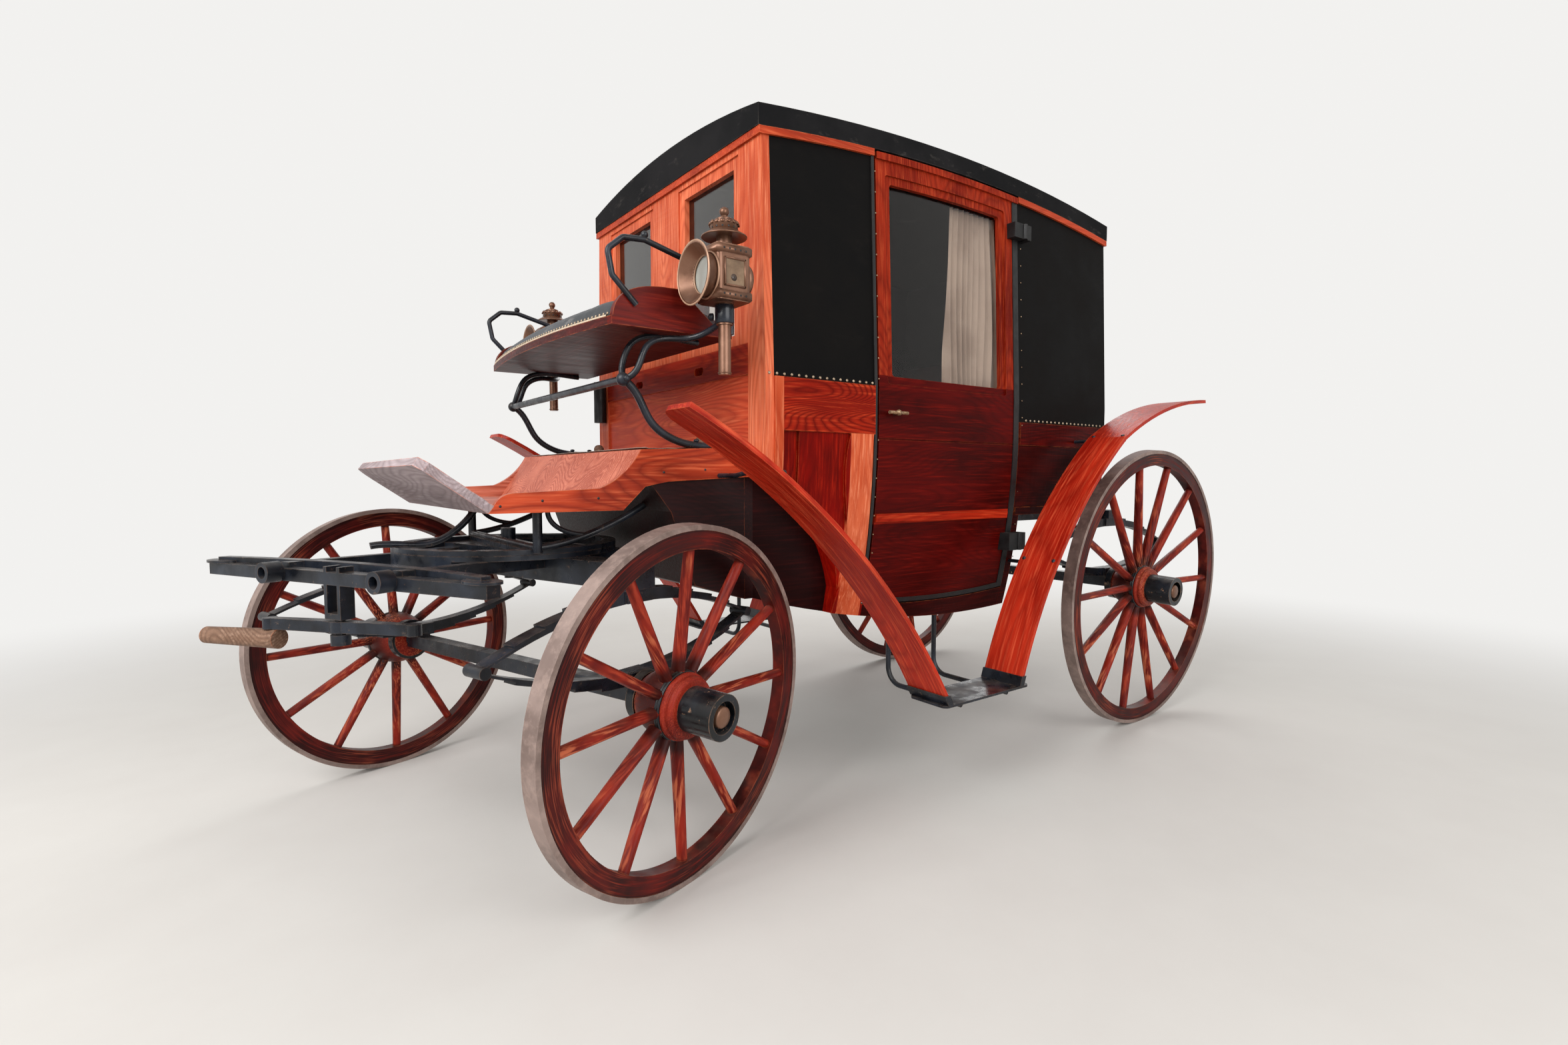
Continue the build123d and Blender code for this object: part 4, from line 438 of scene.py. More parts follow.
# Painted shade: the front wall is darkened below the boot's lower edge.
shade = ((below(FRONT_SHADE), PAINTED_SHADE_TONES, "y", 0.3),)
varnished("front_pine", RUSSET, "y", 0.55, shift=11.0, zones=front_zones, painted_shade_zones=shade, wear=0.8)
varnished("sash_pine", POST, "z", shift=2.0)
varnished("trim_pine", BRIGHT, rings=0.4, shift=5.0, wear=0.8)
varnished("back_pine", DEEP, "y", 0.4, shift=17.0)
# Painted shade: the floor, under the body, is given the darkest tones all over.
varnished("floor_pine", PAINTED_SHADE_TONES, rings=0.4, shift=19.0)
boot_side = ((within(Y, *BOOT_SIDE_Y), BRIGHT, "x", 0.75),)
varnished("boot_pine", SALMON, rings=0.75, shift=23.0, zones=boot_side, wear=0.9)
# Painted shade: the lower boot, turned under behind the mudguard, is dark all over.
varnished("boot_shade_pine", PAINTED_SHADE_TONES, rings=0.45, shift=29.0, wear=0.35)
under_seat = ((within(Y, *SEAT_BOARD_Y), SEAT_UNDER, "y", 0.3),)
varnished("seat_pine", SEAT_RED, shift=31.0, zones=under_seat, wear=0.7)
varnished("toe_pine", TOE_GREY, "y", shift=37.0, wear=1.0, rough=0.6)
print(len(finishes), "joinery finishes")

# %% [markdown]
# ## Mudguards with steamed grain
# A mudguard is one plank, steamed and bent, so its grain follows the bend. Straight noise would run
# across it. The grain is therefore read in coordinates that go round the centre of the bend, found
# from three points of the board's own arc.


# %% Mudguard finishes
def arc_centre(first, middle, last):
    (ax, az), (bx, bz), (cx, cz) = first, middle, last
    area = 2 * (ax * (bz - cz) + bx * (cz - az) + cx * (az - bz))
    a, b, c = ax**2 + az**2, bx**2 + bz**2, cx**2 + cz**2
    x = (a * (bz - cz) + b * (cz - az) + c * (az - bz)) / area
    z = (a * (cx - bx) + b * (ax - cx) + c * (bx - ax)) / area
    return at(x, 0, z)


FRONT_GUARD_ARC = ((-180, 1250), (-640, 940), (-1124, 338))
REAR_GUARD_ARC = ((-1478, 338), (-1711, 800), (-2130, 1232))
GUARD_TONES = ((138, 18, 6), (186, 46, 24), (228, 98, 62))
for name, arc in (("front_guard_pine", FRONT_GUARD_ARC), ("rear_guard_pine", REAR_GUARD_ARC)):
    centre = arc_centre(*arc)
    bent = {"rings": 0.45, "count": 26.0, "shift": len(name), "centre": centre}
    varnished(name, GUARD_TONES, wear=0.6, rough=0.36, **bent)
    print(name, "grain turns about", [round(v, 3) for v in centre])

# %% [markdown]
# ## Worn wheel paint
# The wheels are oak under red paint: bright on the spokes, where hands and weather have rubbed
# streaks down to bare wood, and dark on the rims, at the tyres and round the feet of the spokes.
# Wear that runs along each spoke has to be read from the hub outwards: the direction from the hub
# gives the spoke, the distance gives the place along it. On the rim the two change roles. Every
# wheel has its own hub, so its own finish.

# %% Wheel finishes
WHEELS = {
    "front_left_wheel": 0.480,
    "front_right_wheel": 0.480,
    "rear_left_wheel": 0.598,
    "rear_right_wheel": 0.598,
}
RED_OXIDE = ((88, 16, 12), (136, 34, 20), (166, 60, 38))
RIM_OXIDE = ((40, 8, 7), (80, 16, 12), (118, 30, 20))
RIM_DARK = paint(30, 10, 9)
RUBBED = paint(192, 104, 70)
WHEEL_DUST = (150, 120, 104)
RIM_DEPTH = (0.072, 0.062)
# Reaches, in metres, over which the rim darkens next to the tyre and the spokes next to the nave.
RIM_DARKER_BY_TYRE = (0.025, 0.016)
SPOKES_DARKER_BY_NAVE = (0.115, 0.15)
NAVE_REACH = (0.090, 0.096)


def wheel_finish(name, radius):
    tree, shader, place = finish(name + "_paint", Specular_IOR_Level=0.16)
    hub = joints[name + "_spin"]["pos_m"]
    arm = add(tree, "VectorMath", {0: place, 1: hub}, operation="SUBTRACT").outputs[0]
    reach = add(tree, "VectorMath", {0: arm}, operation="LENGTH").outputs["Value"]
    heading = add(tree, "VectorMath", {0: arm}, operation="NORMALIZE").outputs[0]

    def streaks(stretch, scale):
        reads = {"Vector": heading, "W": times(tree, reach, stretch), "Scale": scale, "Detail": 3.0}
        return add(tree, "TexNoise", reads, noise_dimensions="4D").outputs["Fac"]

    on_rim = between(tree, reach, *(radius - depth for depth in RIM_DEPTH))
    choice = {0: on_rim, 2: streaks(0.4, 34.0), 3: streaks(60.0, 5.0)}
    streak = add(tree, "Mix", choice, data_type="FLOAT").outputs[0]
    pairs = zip(RED_OXIDE, RIM_OXIDE)
    dark, middle, light = (mix(tree, on_rim, paint(*spoke), paint(*rim)) for spoke, rim in pairs)
    mottled = mix(tree, between(tree, cloud(tree, place, 9.0, 3.0), 0.35, 0.7), dark, middle)
    colour = mix(tree, between(tree, streak, 0.42, 0.78), mottled, light)
    rim_stain = between(tree, cloud(tree, place, 3.4, 3.0), 0.42, 0.66, 0.0, 0.45)
    colour = mix(tree, times(tree, rim_stain, on_rim), colour, RIM_DARK)
    # The rim is darker next to the tyre and the spokes darker next to the nave.
    by_tyre = between(tree, reach, *(radius - depth for depth in RIM_DARKER_BY_TYRE), 0.0, 0.8)
    feet = times(tree, between(tree, reach, *SPOKES_DARKER_BY_NAVE, 0.85, 0.0), between(tree, reach, *NAVE_REACH))
    colour = mix(tree, maths(tree, "MAXIMUM", by_tyre, feet), colour, RIM_DARK)
    patches = between(tree, cloud(tree, place, 5.0, 2.0), 0.47, 0.60)
    rubbed = times(tree, between(tree, streak, 0.48, 0.62), patches)
    off_rim = between(tree, on_rim, 0.0, 1.0, 0.75, 0.2)
    colour = mix(tree, times(tree, rubbed, off_rim), colour, RUBBED)
    colour = mix(tree, worn_edges(tree, place, 18.0, 0.5), colour, RUBBED)
    colour = dusted(tree, place, colour, 0.12, WHEEL_DUST)
    feed(tree, shader, {"Base Color": colour, "Roughness": between(tree, streak, 0.3, 0.7, 0.36, 0.6)})
    relief(tree, shader, streak, 0.3, 0.0008)


for wheel, wheel_radius in WHEELS.items():
    wheel_finish(wheel, wheel_radius)
print("wheel finishes for", ", ".join(WHEELS))

# %% [markdown]
# ## Irons, tyres and lamps
# Springs, stays and steps are forged iron under blue-black enamel: glossy, a little uneven from the
# hammer, brown where it has chipped. Tyres have lost all paint and are brown-grey. The lamps are
# copper and brass that have gone brown, with a paler spun reflector round the lens. Metal that has
# kept its paint is no mirror, so only the tyres, the lamps and the brass get a metallic value.

# %% Metal finishes
IRON_DUST = (120, 108, 98)


def enamel(name, tones, chip, rough, chips):
    tree, shader, place = finish(name, Specular_IOR_Level=0.34)
    dark, light = (paint(*tone) for tone in tones)
    colour = mix(tree, between(tree, cloud(tree, place, 11.0, 3.0), 0.35, 0.7), dark, light)
    spots = between(tree, cloud(tree, place, 38.0, 4.0, 0.7), 0.62, 0.70, 0.0, 0.7 * chips)
    chipped = maths(tree, "MAXIMUM", worn_edges(tree, place, 40.0, chips), spots)
    colour = dusted(tree, place, mix(tree, chipped, colour, paint(*chip)), 0.3, IRON_DUST)
    dullness = between(tree, cloud(tree, place, 24.0, 3.0), 0.3, 0.7, rough - 0.08, rough + 0.16)
    feed(tree, shader, {"Base Color": colour, "Roughness": dullness})
    relief(tree, shader, cloud(tree, place, 60.0, 3.0), 0.25, 0.0012)


def bare_metal(name, tones, metallic, rough, patch, mottle=0.7):
    tree, shader, place = finish(name)
    dark, middle, light = (paint(*tone) for tone in tones)
    low = between(tree, cloud(tree, place, patch, 4.0, 0.6), 0.35, 0.65)
    high = between(tree, cloud(tree, place, patch * 5, 4.0, 0.7), 0.45, 0.7, 0.0, mottle)
    colour = mix(tree, high, mix(tree, low, dark, middle), light)
    ends = {
        "Base Color": mix(tree, worn_edges(tree, place, 50.0, 0.6), colour, light),
        "Metallic": between(tree, low, 0.0, 1.0, metallic, metallic - 0.25),
        "Roughness": between(tree, high, 0.0, 0.7, rough, rough + 0.15),
    }
    feed(tree, shader, ends)
    relief(tree, shader, cloud(tree, place, 90.0, 4.0, 0.7), 0.25 * mottle, 0.0008)


enamel("black_enamel", ((13, 15, 20), (32, 37, 46)), (92, 74, 62), 0.3, 0.8)
enamel("hub_enamel", ((10, 12, 14), (26, 30, 36)), (128, 100, 80), 0.28, 1.3)
enamel("edging_enamel", ((12, 12, 13), (22, 21, 21)), (60, 50, 44), 0.46, 0.3)
bare_metal("tyre_steel", ((114, 96, 89), (140, 120, 112), (166, 144, 134)), 0.35, 0.55, 7.0, 0.5)
bare_metal("lamp_copper", ((92, 62, 46), (122, 86, 66), (160, 122, 98)), 0.7, 0.34, 7.0, 0.2)
bare_metal("lamp_reflector", ((150, 114, 90), (184, 146, 120), (206, 172, 146)), 0.5, 0.42, 9.0, 0.2)
bare_metal("lamp_inside", ((96, 74, 54), (128, 102, 76), (150, 124, 96)), 0.3, 0.5, 12.0, 0.2)
bare_metal("aged_brass", ((104, 78, 54), (146, 112, 78), (206, 186, 156)), 0.7, 0.36, 60.0)
bare_metal("nail_brass", ((120, 100, 80), (160, 140, 116), (200, 186, 164)), 0.7, 0.34, 90.0)
print(len(finishes), "finishes")

# %% [markdown]
# ## Leather, cloth and glass
# The upper quarters are smooth black leather, the roof a matt leather cloth, the seat an older hide
# with a blue-grey bloom. Hide grain is a net of small cells, which a Voronoi texture draws as relief,
# and age is a soft cloud over it. Glass is real glass for the eye, but a lamp's rays may pass
# straight through it, so that the curtain behind it is lit. The turned parts are bare grey wood.

# %% Leather, cloth and glass finishes
THREAD_GAP = paint(90, 84, 78)


def leather(name, tones, rough, cell, scuff, scuffs, crease=0.4, shine=0.12):
    tree, shader, place = finish(name, Specular_IOR_Level=shine)
    dark, light = (paint(*tone) for tone in tones)
    soft = cloud(tree, place, 4.0, 4.0, 0.6)
    colour = mix(tree, between(tree, soft, 0.35, 0.7), dark, light)
    marks = between(tree, cloud(tree, place, 7.0, 6.0, 0.75, (1, 1, 2.4)), 0.56, 0.72, 0.0, scuffs)
    worn = worn_edges(tree, place, 12.0, scuffs * 1.6)
    colour = mix(tree, maths(tree, "MAXIMUM", marks, worn), colour, paint(*scuff))
    dullness = between(tree, soft, 0.3, 0.7, rough - 0.06, rough + 0.12)
    feed(tree, shader, {"Base Color": colour, "Roughness": dullness})
    cells = add(tree, "TexVoronoi", {"Vector": place, "Scale": cell}, feature="DISTANCE_TO_EDGE").outputs
    pores = between(tree, cells["Distance"], 0.0, 0.12)
    folds = cloud(tree, place, 9.0, 2.0, 0.5, (1, 1, 0.5))
    height = maths(tree, "ADD", times(tree, pores, 0.2), times(tree, folds, crease * 8))
    relief(tree, shader, height, 0.35, 0.0012)


def cloth(name, tone, thread, rough, blotch=None):
    tree, shader, place = finish(name, Sheen_Weight=0.2, Sheen_Roughness=0.5, Roughness=rough)
    reads = {"Vector": place, "Scale": thread, "Distortion": 0.6, "Detail": 2.0}
    warp, weft = (add(tree, "TexWave", reads, bands_direction=way).outputs["Fac"] for way in "XZ")
    weave = maths(tree, "MAXIMUM", warp, weft)
    blotches = between(tree, cloud(tree, place, 6.0, 4.0), 0.35, 0.75)
    shade = mix(tree, blotches, paint(*tone), paint(*(blotch or tone)))
    colour = mix(tree, between(tree, weave, 0.2, 0.9, 0.12, 0.0), shade, THREAD_GAP)
    feed(tree, shader, {"Base Color": colour})
    relief(tree, shader, weave, 0.25, 0.0004)


def window_glass(name, tint, haze, passes=1.0, index=1.45):
    tree, shader, place = finish(name, Transmission_Weight=passes, IOR=index, Base_Color=paint(*tint))
    smears = between(tree, cloud(tree, place, 5.0, 5.0, 0.65), 0.45, 0.8, 0.0, haze)
    feed(tree, shader, {"Roughness": smears})
    clear = add(tree, "BsdfTransparent", {"Color": paint(*tint)}).outputs[0]
    path = add(tree, "LightPath").outputs["Is Shadow Ray"]
    shown = add(tree, "MixShader", {0: path, 1: shader.outputs[0], 2: clear}).outputs[0]
    feed(tree, tree.nodes["Material Output"], {"Surface": shown})


leather("quarter_leather", ((8, 7, 7), (15, 13, 12)), 0.5, 900.0, (44, 38, 34), 0.1, 0.15, 0.05)
leather("roof_leather", ((20, 20, 21), (34, 33, 34)), 0.8, 700.0, (104, 98, 94), 0.3, 0.3, 0.06)
leather("seat_leather", ((36, 40, 44), (74, 76, 80)), 0.44, 620.0, (146, 144, 140), 0.5, 0.5, 0.3)
leather("bench_leather", ((44, 20, 16), (66, 32, 24)), 0.55, 700.0, (100, 70, 56), 0.2, 0.4)
cloth("curtain_cotton", (214, 204, 194), 420.0, 0.9, (186, 174, 164))
cloth("boot_canvas", (176, 164, 150), 300.0, 0.92, (132, 120, 108))
cloth("piping_cord", (206, 186, 160), 500.0, 0.8)
window_glass("pane_glass", (232, 229, 226), 0.12)
window_glass("door_pane", (218, 211, 206), 0.12, index=1.27)
window_glass("lens_glass", (206, 208, 200), 0.4, 0.55)
BARE_WOOD = ((92, 68, 54), (130, 100, 82), (166, 136, 116))
varnished("turned_wood", BARE_WOOD, "y", wear=0.6, rough=0.55)
print(len(finishes), "finishes in all")

# %% [markdown]
# ## Dressing the frame
# A CAD solid whose shape is right stays as it is and only gets its finish. A table says which finish
# each solid wears, so a missing one shows up at once as a name that nothing in the table matches.

# %% Finishes on the CAD nodes
WORN_BY = {
    "side_pine": ("side_lower_left", "side_lower_right"),
    "door_pine": ("door_left", "door_right"),
    "front_pine": ("front_wall",),
    "sash_pine": ("front_sash",),
    "trim_pine": ("cornice",),
    "back_pine": ("back_lower",),
    "floor_pine": ("floor_pan",),
    "boot_pine": ("boot_upper",),
    "boot_shade_pine": ("boot_lower",),
    "seat_pine": ("driver_seat",),
    "toe_pine": ("toe_board",),
    "front_guard_pine": ("front_mudguards",),
    "rear_guard_pine": ("rear_mudguards",),
    "quarter_leather": ("side_upper_left", "side_upper_right", "back_upper"),
    "roof_leather": ("roof",),
    "seat_leather": ("driver_cushion",),
    "bench_leather": ("bench_cushion",),
    "curtain_cotton": ("curtain_left", "curtain_right"),
    "pane_glass": ("fixed_glass",),
    "door_pane": ("door_glass_left", "door_glass_right"),
    "lens_glass": ("lamp_lenses",),
    "lamp_copper": ("lamps",),
    "aged_brass": ("door_handle_left", "door_handle_right"),
    "turned_wood": ("swingletree_stub",),
    "edging_enamel": ("edging", "door_fittings_left", "door_fittings_right", "whip_socket"),
    "tyre_steel": [wheel + "_tyre" for wheel in WHEELS],
    "hub_enamel": [wheel + "_hub" for wheel in WHEELS],
}
for wheel in WHEELS:
    WORN_BY[wheel + "_paint"] = (wheel + "_wood",)
wearing = {node: name for name, group in WORN_BY.items() for node in group}
for node, solid in nodes.items():
    material = finishes[wearing.get(node, "black_enamel")]
    for slot in solid.material_slots:
        slot.material = material
print("in black enamel:", ", ".join(sorted(set(nodes) - set(wearing))))

# %% [markdown]
# ## Making and placing a piece
# Everything below is built where it belongs, so a new object needs only a mesh, a finish and the body
# that it moves with. Turned work, such as beads, knobs and caps, is a profile spun round an axis, as
# on a lathe. A Screw modifier could spin it too, but a few lines of bmesh close its poles for certain.


# %% Helpers for pieces
def piece(name, mesh, material, body="carriage", smooth=True):
    made = linked(name, mesh)
    mesh.materials.clear()
    mesh.materials.append(finishes[material])
    mesh.polygons.foreach_set("use_smooth", [smooth] * len(mesh.polygons))
    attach(made, body)
    print(name, len(mesh.polygons), "faces on", body)
    return made


def evaluated(holder):
    """The plain mesh that an object's modifiers make."""
    graph = bpy.context.evaluated_depsgraph_get()
    return bpy.data.meshes.new_from_object(holder.evaluated_get(graph))


def grid(bm, place_at, rows, columns):
    """Faces between the places that a rule gives for shares, 0 to 1, down and along."""
    along_row = [j / columns for j in range(columns + 1)]
    made = [[bm.verts.new(place_at(i / rows, share)) for share in along_row] for i in range(rows + 1)]
    for one, other in zip(made, made[1:]):
        for j in range(columns):
            bm.faces.new((one[j], one[j + 1], other[j + 1], other[j]))
    return made


def closed(bm, name):
    """A finished mesh, with double points joined and all faces turned outwards."""
    bmesh.ops.remove_doubles(bm, verts=bm.verts, dist=1e-6)
    bmesh.ops.recalc_face_normals(bm, faces=bm.faces)
    mesh = bpy.data.meshes.new(name)
    bm.to_mesh(mesh)
    bm.free()
    return mesh


def turn(bm, foot, axis, profile, sides=40):
    """Spin (radius, rise) points, in millimetres, round an axis through foot."""
    axis = Vector(axis).normalized()
    across = axis.orthogonal().normalized()
    third = axis.cross(across)
    rings = []
    for radius, rise in profile:
        middle = Vector(foot) + axis * rise * MM
        angles = [2 * math.pi * k / sides for k in range(sides)] if radius else [0]
        spokes = [across * math.cos(a) + third * math.sin(a) for a in angles]
        rings.append([bm.verts.new(middle + spoke * radius * MM) for spoke in spokes])
    pairs = list(zip(rings, rings[1:]))
    if len(rings[0]) > 1 and len(rings[-1]) > 1:
        pairs.append((rings[-1], rings[0]))
    for one, other in pairs:
        for k in range(sides):
            steps = ((one, k), (one, k + 1), (other, k + 1), (other, k))
            corners = list(dict.fromkeys(ring[n % len(ring)] for ring, n in steps))
            if len(corners) > 2:
                bm.faces.new(corners)


def bead(bm, centre, axis, radius, thick):
    angles = [math.pi * k / 4 for k in range(8)]
    turn(bm, centre, axis, [(radius + thick * math.cos(a), thick * math.sin(a)) for a in angles])


def bar(bm, centre, size, ease=0.0008):
    """A straight bar with eased edges; its size is in millimetres."""
    cube = bmesh.ops.create_cube(bm, size=1)
    for vertex in cube["verts"]:
        vertex.co = centre + Vector(s * c * MM for s, c in zip(size, vertex.co))
    edges = list({edge for vertex in cube["verts"] for edge in vertex.link_edges})
    bmesh.ops.bevel(bm, geom=edges, offset=ease, segments=2, affect="EDGES")


print("piece helpers ready")

# %% [markdown]
# ## Stuffing a cushion
# A cushion is leather round horsehair: the stuffing pushes the cover out until its seams hold it. The
# same happens in a cloth simulation with pressure and no gravity. The cover is remeshed into even
# squares first, because cloth needs them, and how far a point may move is capped, so that the cushion
# stays on its seat. What rests on the seat board stays flat, because points are kept above it.


# %% Cushion helper
PRESSURE = 4.0
CLOTH_FRAMES = 20


def coordinates(mesh):
    flat = np.zeros(len(mesh.vertices) * 3)
    mesh.vertices.foreach_get("co", flat)
    return flat.reshape(-1, 3)


def stuffed(name, mesh, voxel, cap, lowest):
    pad = linked(name + "_raw", mesh)
    remesh = pad.modifiers.new("even", "REMESH")
    remesh.mode = "VOXEL"
    remesh.voxel_size = voxel
    even = evaluated(pad)
    pad.modifiers.clear()
    pad.data = even
    rest = coordinates(even)
    moved = rest.copy()
    cover = pad.modifiers.new("cover", "CLOTH").settings
    cover.use_pressure = True
    cover.uniform_pressure_force = PRESSURE
    cover.effector_weights.gravity = 0
    for number in range(1, CLOTH_FRAMES + 1):
        scene.frame_set(number)
    moved = coordinates(pad.evaluated_get(bpy.context.evaluated_depsgraph_get()).to_mesh())
    pad.modifiers.clear()
    scene.frame_set(1)
    swelling = moved - rest
    length = np.linalg.norm(swelling, axis=1, keepdims=True)
    moved = rest + swelling * np.minimum(1, cap / np.maximum(length, 1e-9))
    moved[:, 2] = np.maximum(moved[:, 2], lowest)
    even.vertices.foreach_set("co", moved.ravel())
    even.update()
    bpy.data.objects.remove(pad)
    even.name = name
    return even


print("cushion helper ready")

# %% [markdown]
# ## The driver's cushion
# The cushion is as wide as the seat, bowed at the front, and crowned: thin at the front edge, where
# the leather is drawn down and nailed, and full in the middle. A height written as a rule of place
# gives that crown, and the simulation then adds the swelling between the seams.

# %% Driver's cushion
SEAT_TOP = 1502
CUSHION_HALF = 524
CUSHION_FRONT = -126
CUSHION_BACK = -486
CUSHION_BOW = 46
BOW_HALF = 548
CUSHION_CROWN = 50
CUSHION_EDGE = 10
SLOPES = (0.26, 0.22, 0.16)
CUSHION_STEPS = (24, 60)
DRIVER_VOXEL = 0.007
DRIVER_CAP = 0.007


def cushion_front(y):
    return CUSHION_FRONT + CUSHION_BOW * (1 - (y / BOW_HALF) ** 2)


def cushion_height(deep, across):
    crown = 1
    for inward, slope in zip((deep, 1 - deep, 1 - abs(across)), SLOPES):
        crown *= 1 - (1 - min(1, inward / slope)) ** 2
    return CUSHION_EDGE + CUSHION_CROWN * math.sqrt(crown)


def cushion_place(upper):
    def place(deep, along_front):
        across = 2 * along_front - 1
        y = across * CUSHION_HALF
        front = cushion_front(y)
        rise = cushion_height(deep, across) if upper else 1
        return at(front + (CUSHION_BACK - front) * deep, y, SEAT_TOP + rise)

    return place


def rim(layer):
    back = [row[-1] for row in layer[1:]]
    right = layer[-1][-2::-1]
    home = [row[0] for row in layer[-2:0:-1]]
    return layer[0] + back + right + home


bm = bmesh.new()
upper_rim, lower_rim = (rim(grid(bm, cushion_place(upper), *CUSHION_STEPS)) for upper in (True, False))
for k in range(len(upper_rim)):
    bm.faces.new((upper_rim[k - 1], upper_rim[k], lower_rim[k], lower_rim[k - 1]))
cushion_form = closed(bm, "driver_pad_form")
cushion_mesh = stuffed("driver_pad", cushion_form, DRIVER_VOXEL, DRIVER_CAP, (SEAT_TOP + 0.5) * MM)
driver_pad = piece("driver_pad", cushion_mesh, "seat_leather")
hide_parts("driver_cushion")

# %% [markdown]
# ## Bench and squab inside the cab
# The passengers' bench is seen only through the glass: a deep cushion and an upright squab behind it.
# Their CAD solids have the right sizes, so each is copied, drawn in a little, and stuffed.

# %% Bench cushions
BENCH_VOXEL = 0.012
BENCH_CAP = 0.012
DRAWN_IN = 0.6


def shrunk_copy(source):
    bm = bmesh.new()
    bm.from_mesh(source.data)
    bmesh.ops.remove_doubles(bm, verts=bm.verts, dist=1e-5)
    bmesh.ops.recalc_face_normals(bm, faces=bm.faces)
    for vertex in bm.verts:
        vertex.co -= vertex.normal * BENCH_CAP * DRAWN_IN
    return closed(bm, "bench_form")


bench_form = shrunk_copy(nodes["bench_cushion"])
bench_low = min(vertex.co.z for vertex in bench_form.vertices)
bench_mesh = stuffed("bench_pad", bench_form, BENCH_VOXEL, BENCH_CAP, bench_low)
bench_pad = piece("bench_pad", bench_mesh, "bench_leather")
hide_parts("bench_cushion")

# %% [markdown]
# ## Curtains
# A white cotton curtain is drawn behind the rear part of each door window. It is a flat cloth,
# gathered on a rod: its folds are tight and even at the top, then open out, wander and grow deeper.
# A simulation would settle much the same folds slowly; a rule for the depth of each fold gives them
# at once, and the cloth's flat width follows from the length of its waved edge.

# %% Curtains
CURTAIN_TOP = 2064
CURTAIN_FOOT = 1372
CURTAIN_FRONT = -1392
CURTAIN_REAR = -1694
CURTAIN_FOLDS = 8.5
CURTAIN_DEPTH = 20
CURTAIN_STEPS = (70, 200)
CURTAIN_Y = 555
CLOTH_THICK = 0.0008
SILL_Z, WALL_LEAN = 1376, 30 / 764


def curtain_place(side):
    """The door leans in towards the eave, and the curtain hangs along it."""

    def place(fall, share):
        z = CURTAIN_TOP + (CURTAIN_FOOT - CURTAIN_TOP) * fall
        wander = 0.5 * math.sin(3.1 * fall + 5 * share) * fall
        phase = 2 * math.pi * (CURTAIN_FOLDS * share + wander)
        depth = CURTAIN_DEPTH * (0.45 + 0.55 * fall) * (0.75 + 0.25 * math.sin(9 * share + 1))
        x = CURTAIN_REAR + (CURTAIN_FRONT - CURTAIN_REAR) * share * (0.82 + 0.18 * fall)
        y = CURTAIN_Y - (z - SILL_Z) * WALL_LEAN + depth * math.sin(phase + 0.5 * math.sin(phase))
        return at(x, side * y, z)

    return place


for side, word in ((1, "left"), (-1, "right")):
    bm = bmesh.new()
    grid(bm, curtain_place(side), *CURTAIN_STEPS)
    cloth_mesh = closed(bm, "curtain")
    drape = piece(f"curtain_cloth_{word}", cloth_mesh, "curtain_cotton", f"door_{word}")
    drape.modifiers.new("thick", "SOLIDIFY").thickness = CLOTH_THICK
    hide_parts(f"curtain_{word}")

# %% [markdown]
# ## Nails, pins and bolts
# Leather is held by rows of small round-headed nails, and boards and irons by bolts. All are one
# domed head repeated, so one Geometry Nodes tree makes them: it walks a path at a given spacing,
# sets a head at each step, turns it to face outwards and gives it its metal. The outward direction
# is stored on the path's own points. For single bolts the same tree takes the points as they are.


# %% A tree of studs
def stud_tree(name, along_path):
    tree = bpy.data.node_groups.new(name, "GeometryNodeTree")
    sockets = {}
    kinds = {"Spacing": "Float", "Radius": "Float", "Rise": "Float", "Metal": "Material"}
    for label in ("Geometry", *kinds):
        kind = "NodeSocket" + kinds.get(label, "Geometry")
        sockets[label] = tree.interface.new_socket(name=label, in_out="INPUT", socket_type=kind).identifier
    tree.interface.new_socket(name="Geometry", in_out="OUTPUT", socket_type="NodeSocketGeometry")

    def make(kind, reads=(), family="GeometryNode", **settings):
        return add(tree, kind, reads, family, **settings).outputs

    given = make("GroupInput", family="Node")
    points = given["Geometry"]
    if along_path:
        path = make("MeshToCurve", {"Mesh": points})["Curve"]
        points = make("ResampleCurve", {"Curve": path, "Length": given["Spacing"]}, mode="LENGTH")["Curve"]
    head = make("MeshIcoSphere", {"Subdivisions": 2})["Mesh"]
    flat = make("CombineXYZ", {"X": 1, "Y": 1, "Z": given["Rise"]}, "ShaderNode")["Vector"]
    dome = make("Transform", {"Geometry": head, "Scale": flat})["Geometry"]
    outward = make("InputNamedAttribute", {"Name": "outward"}, data_type="FLOAT_VECTOR")["Attribute"]
    turned = make("AlignRotationToVector", {"Vector": outward}, "FunctionNode", axis="Z")["Rotation"]
    reads = {"Points": points, "Instance": dome, "Rotation": turned, "Scale": given["Radius"]}
    real = make("RealizeInstances", {"Geometry": make("InstanceOnPoints", reads)["Instances"]})["Geometry"]
    dressed = make("SetMaterial", {"Geometry": real, "Material": given["Metal"]})["Geometry"]
    make("GroupOutput", {"Geometry": dressed}, "Node")
    return tree, sockets


NAIL_ROW = stud_tree("nail row", True)
BOLTS = stud_tree("bolts", False)


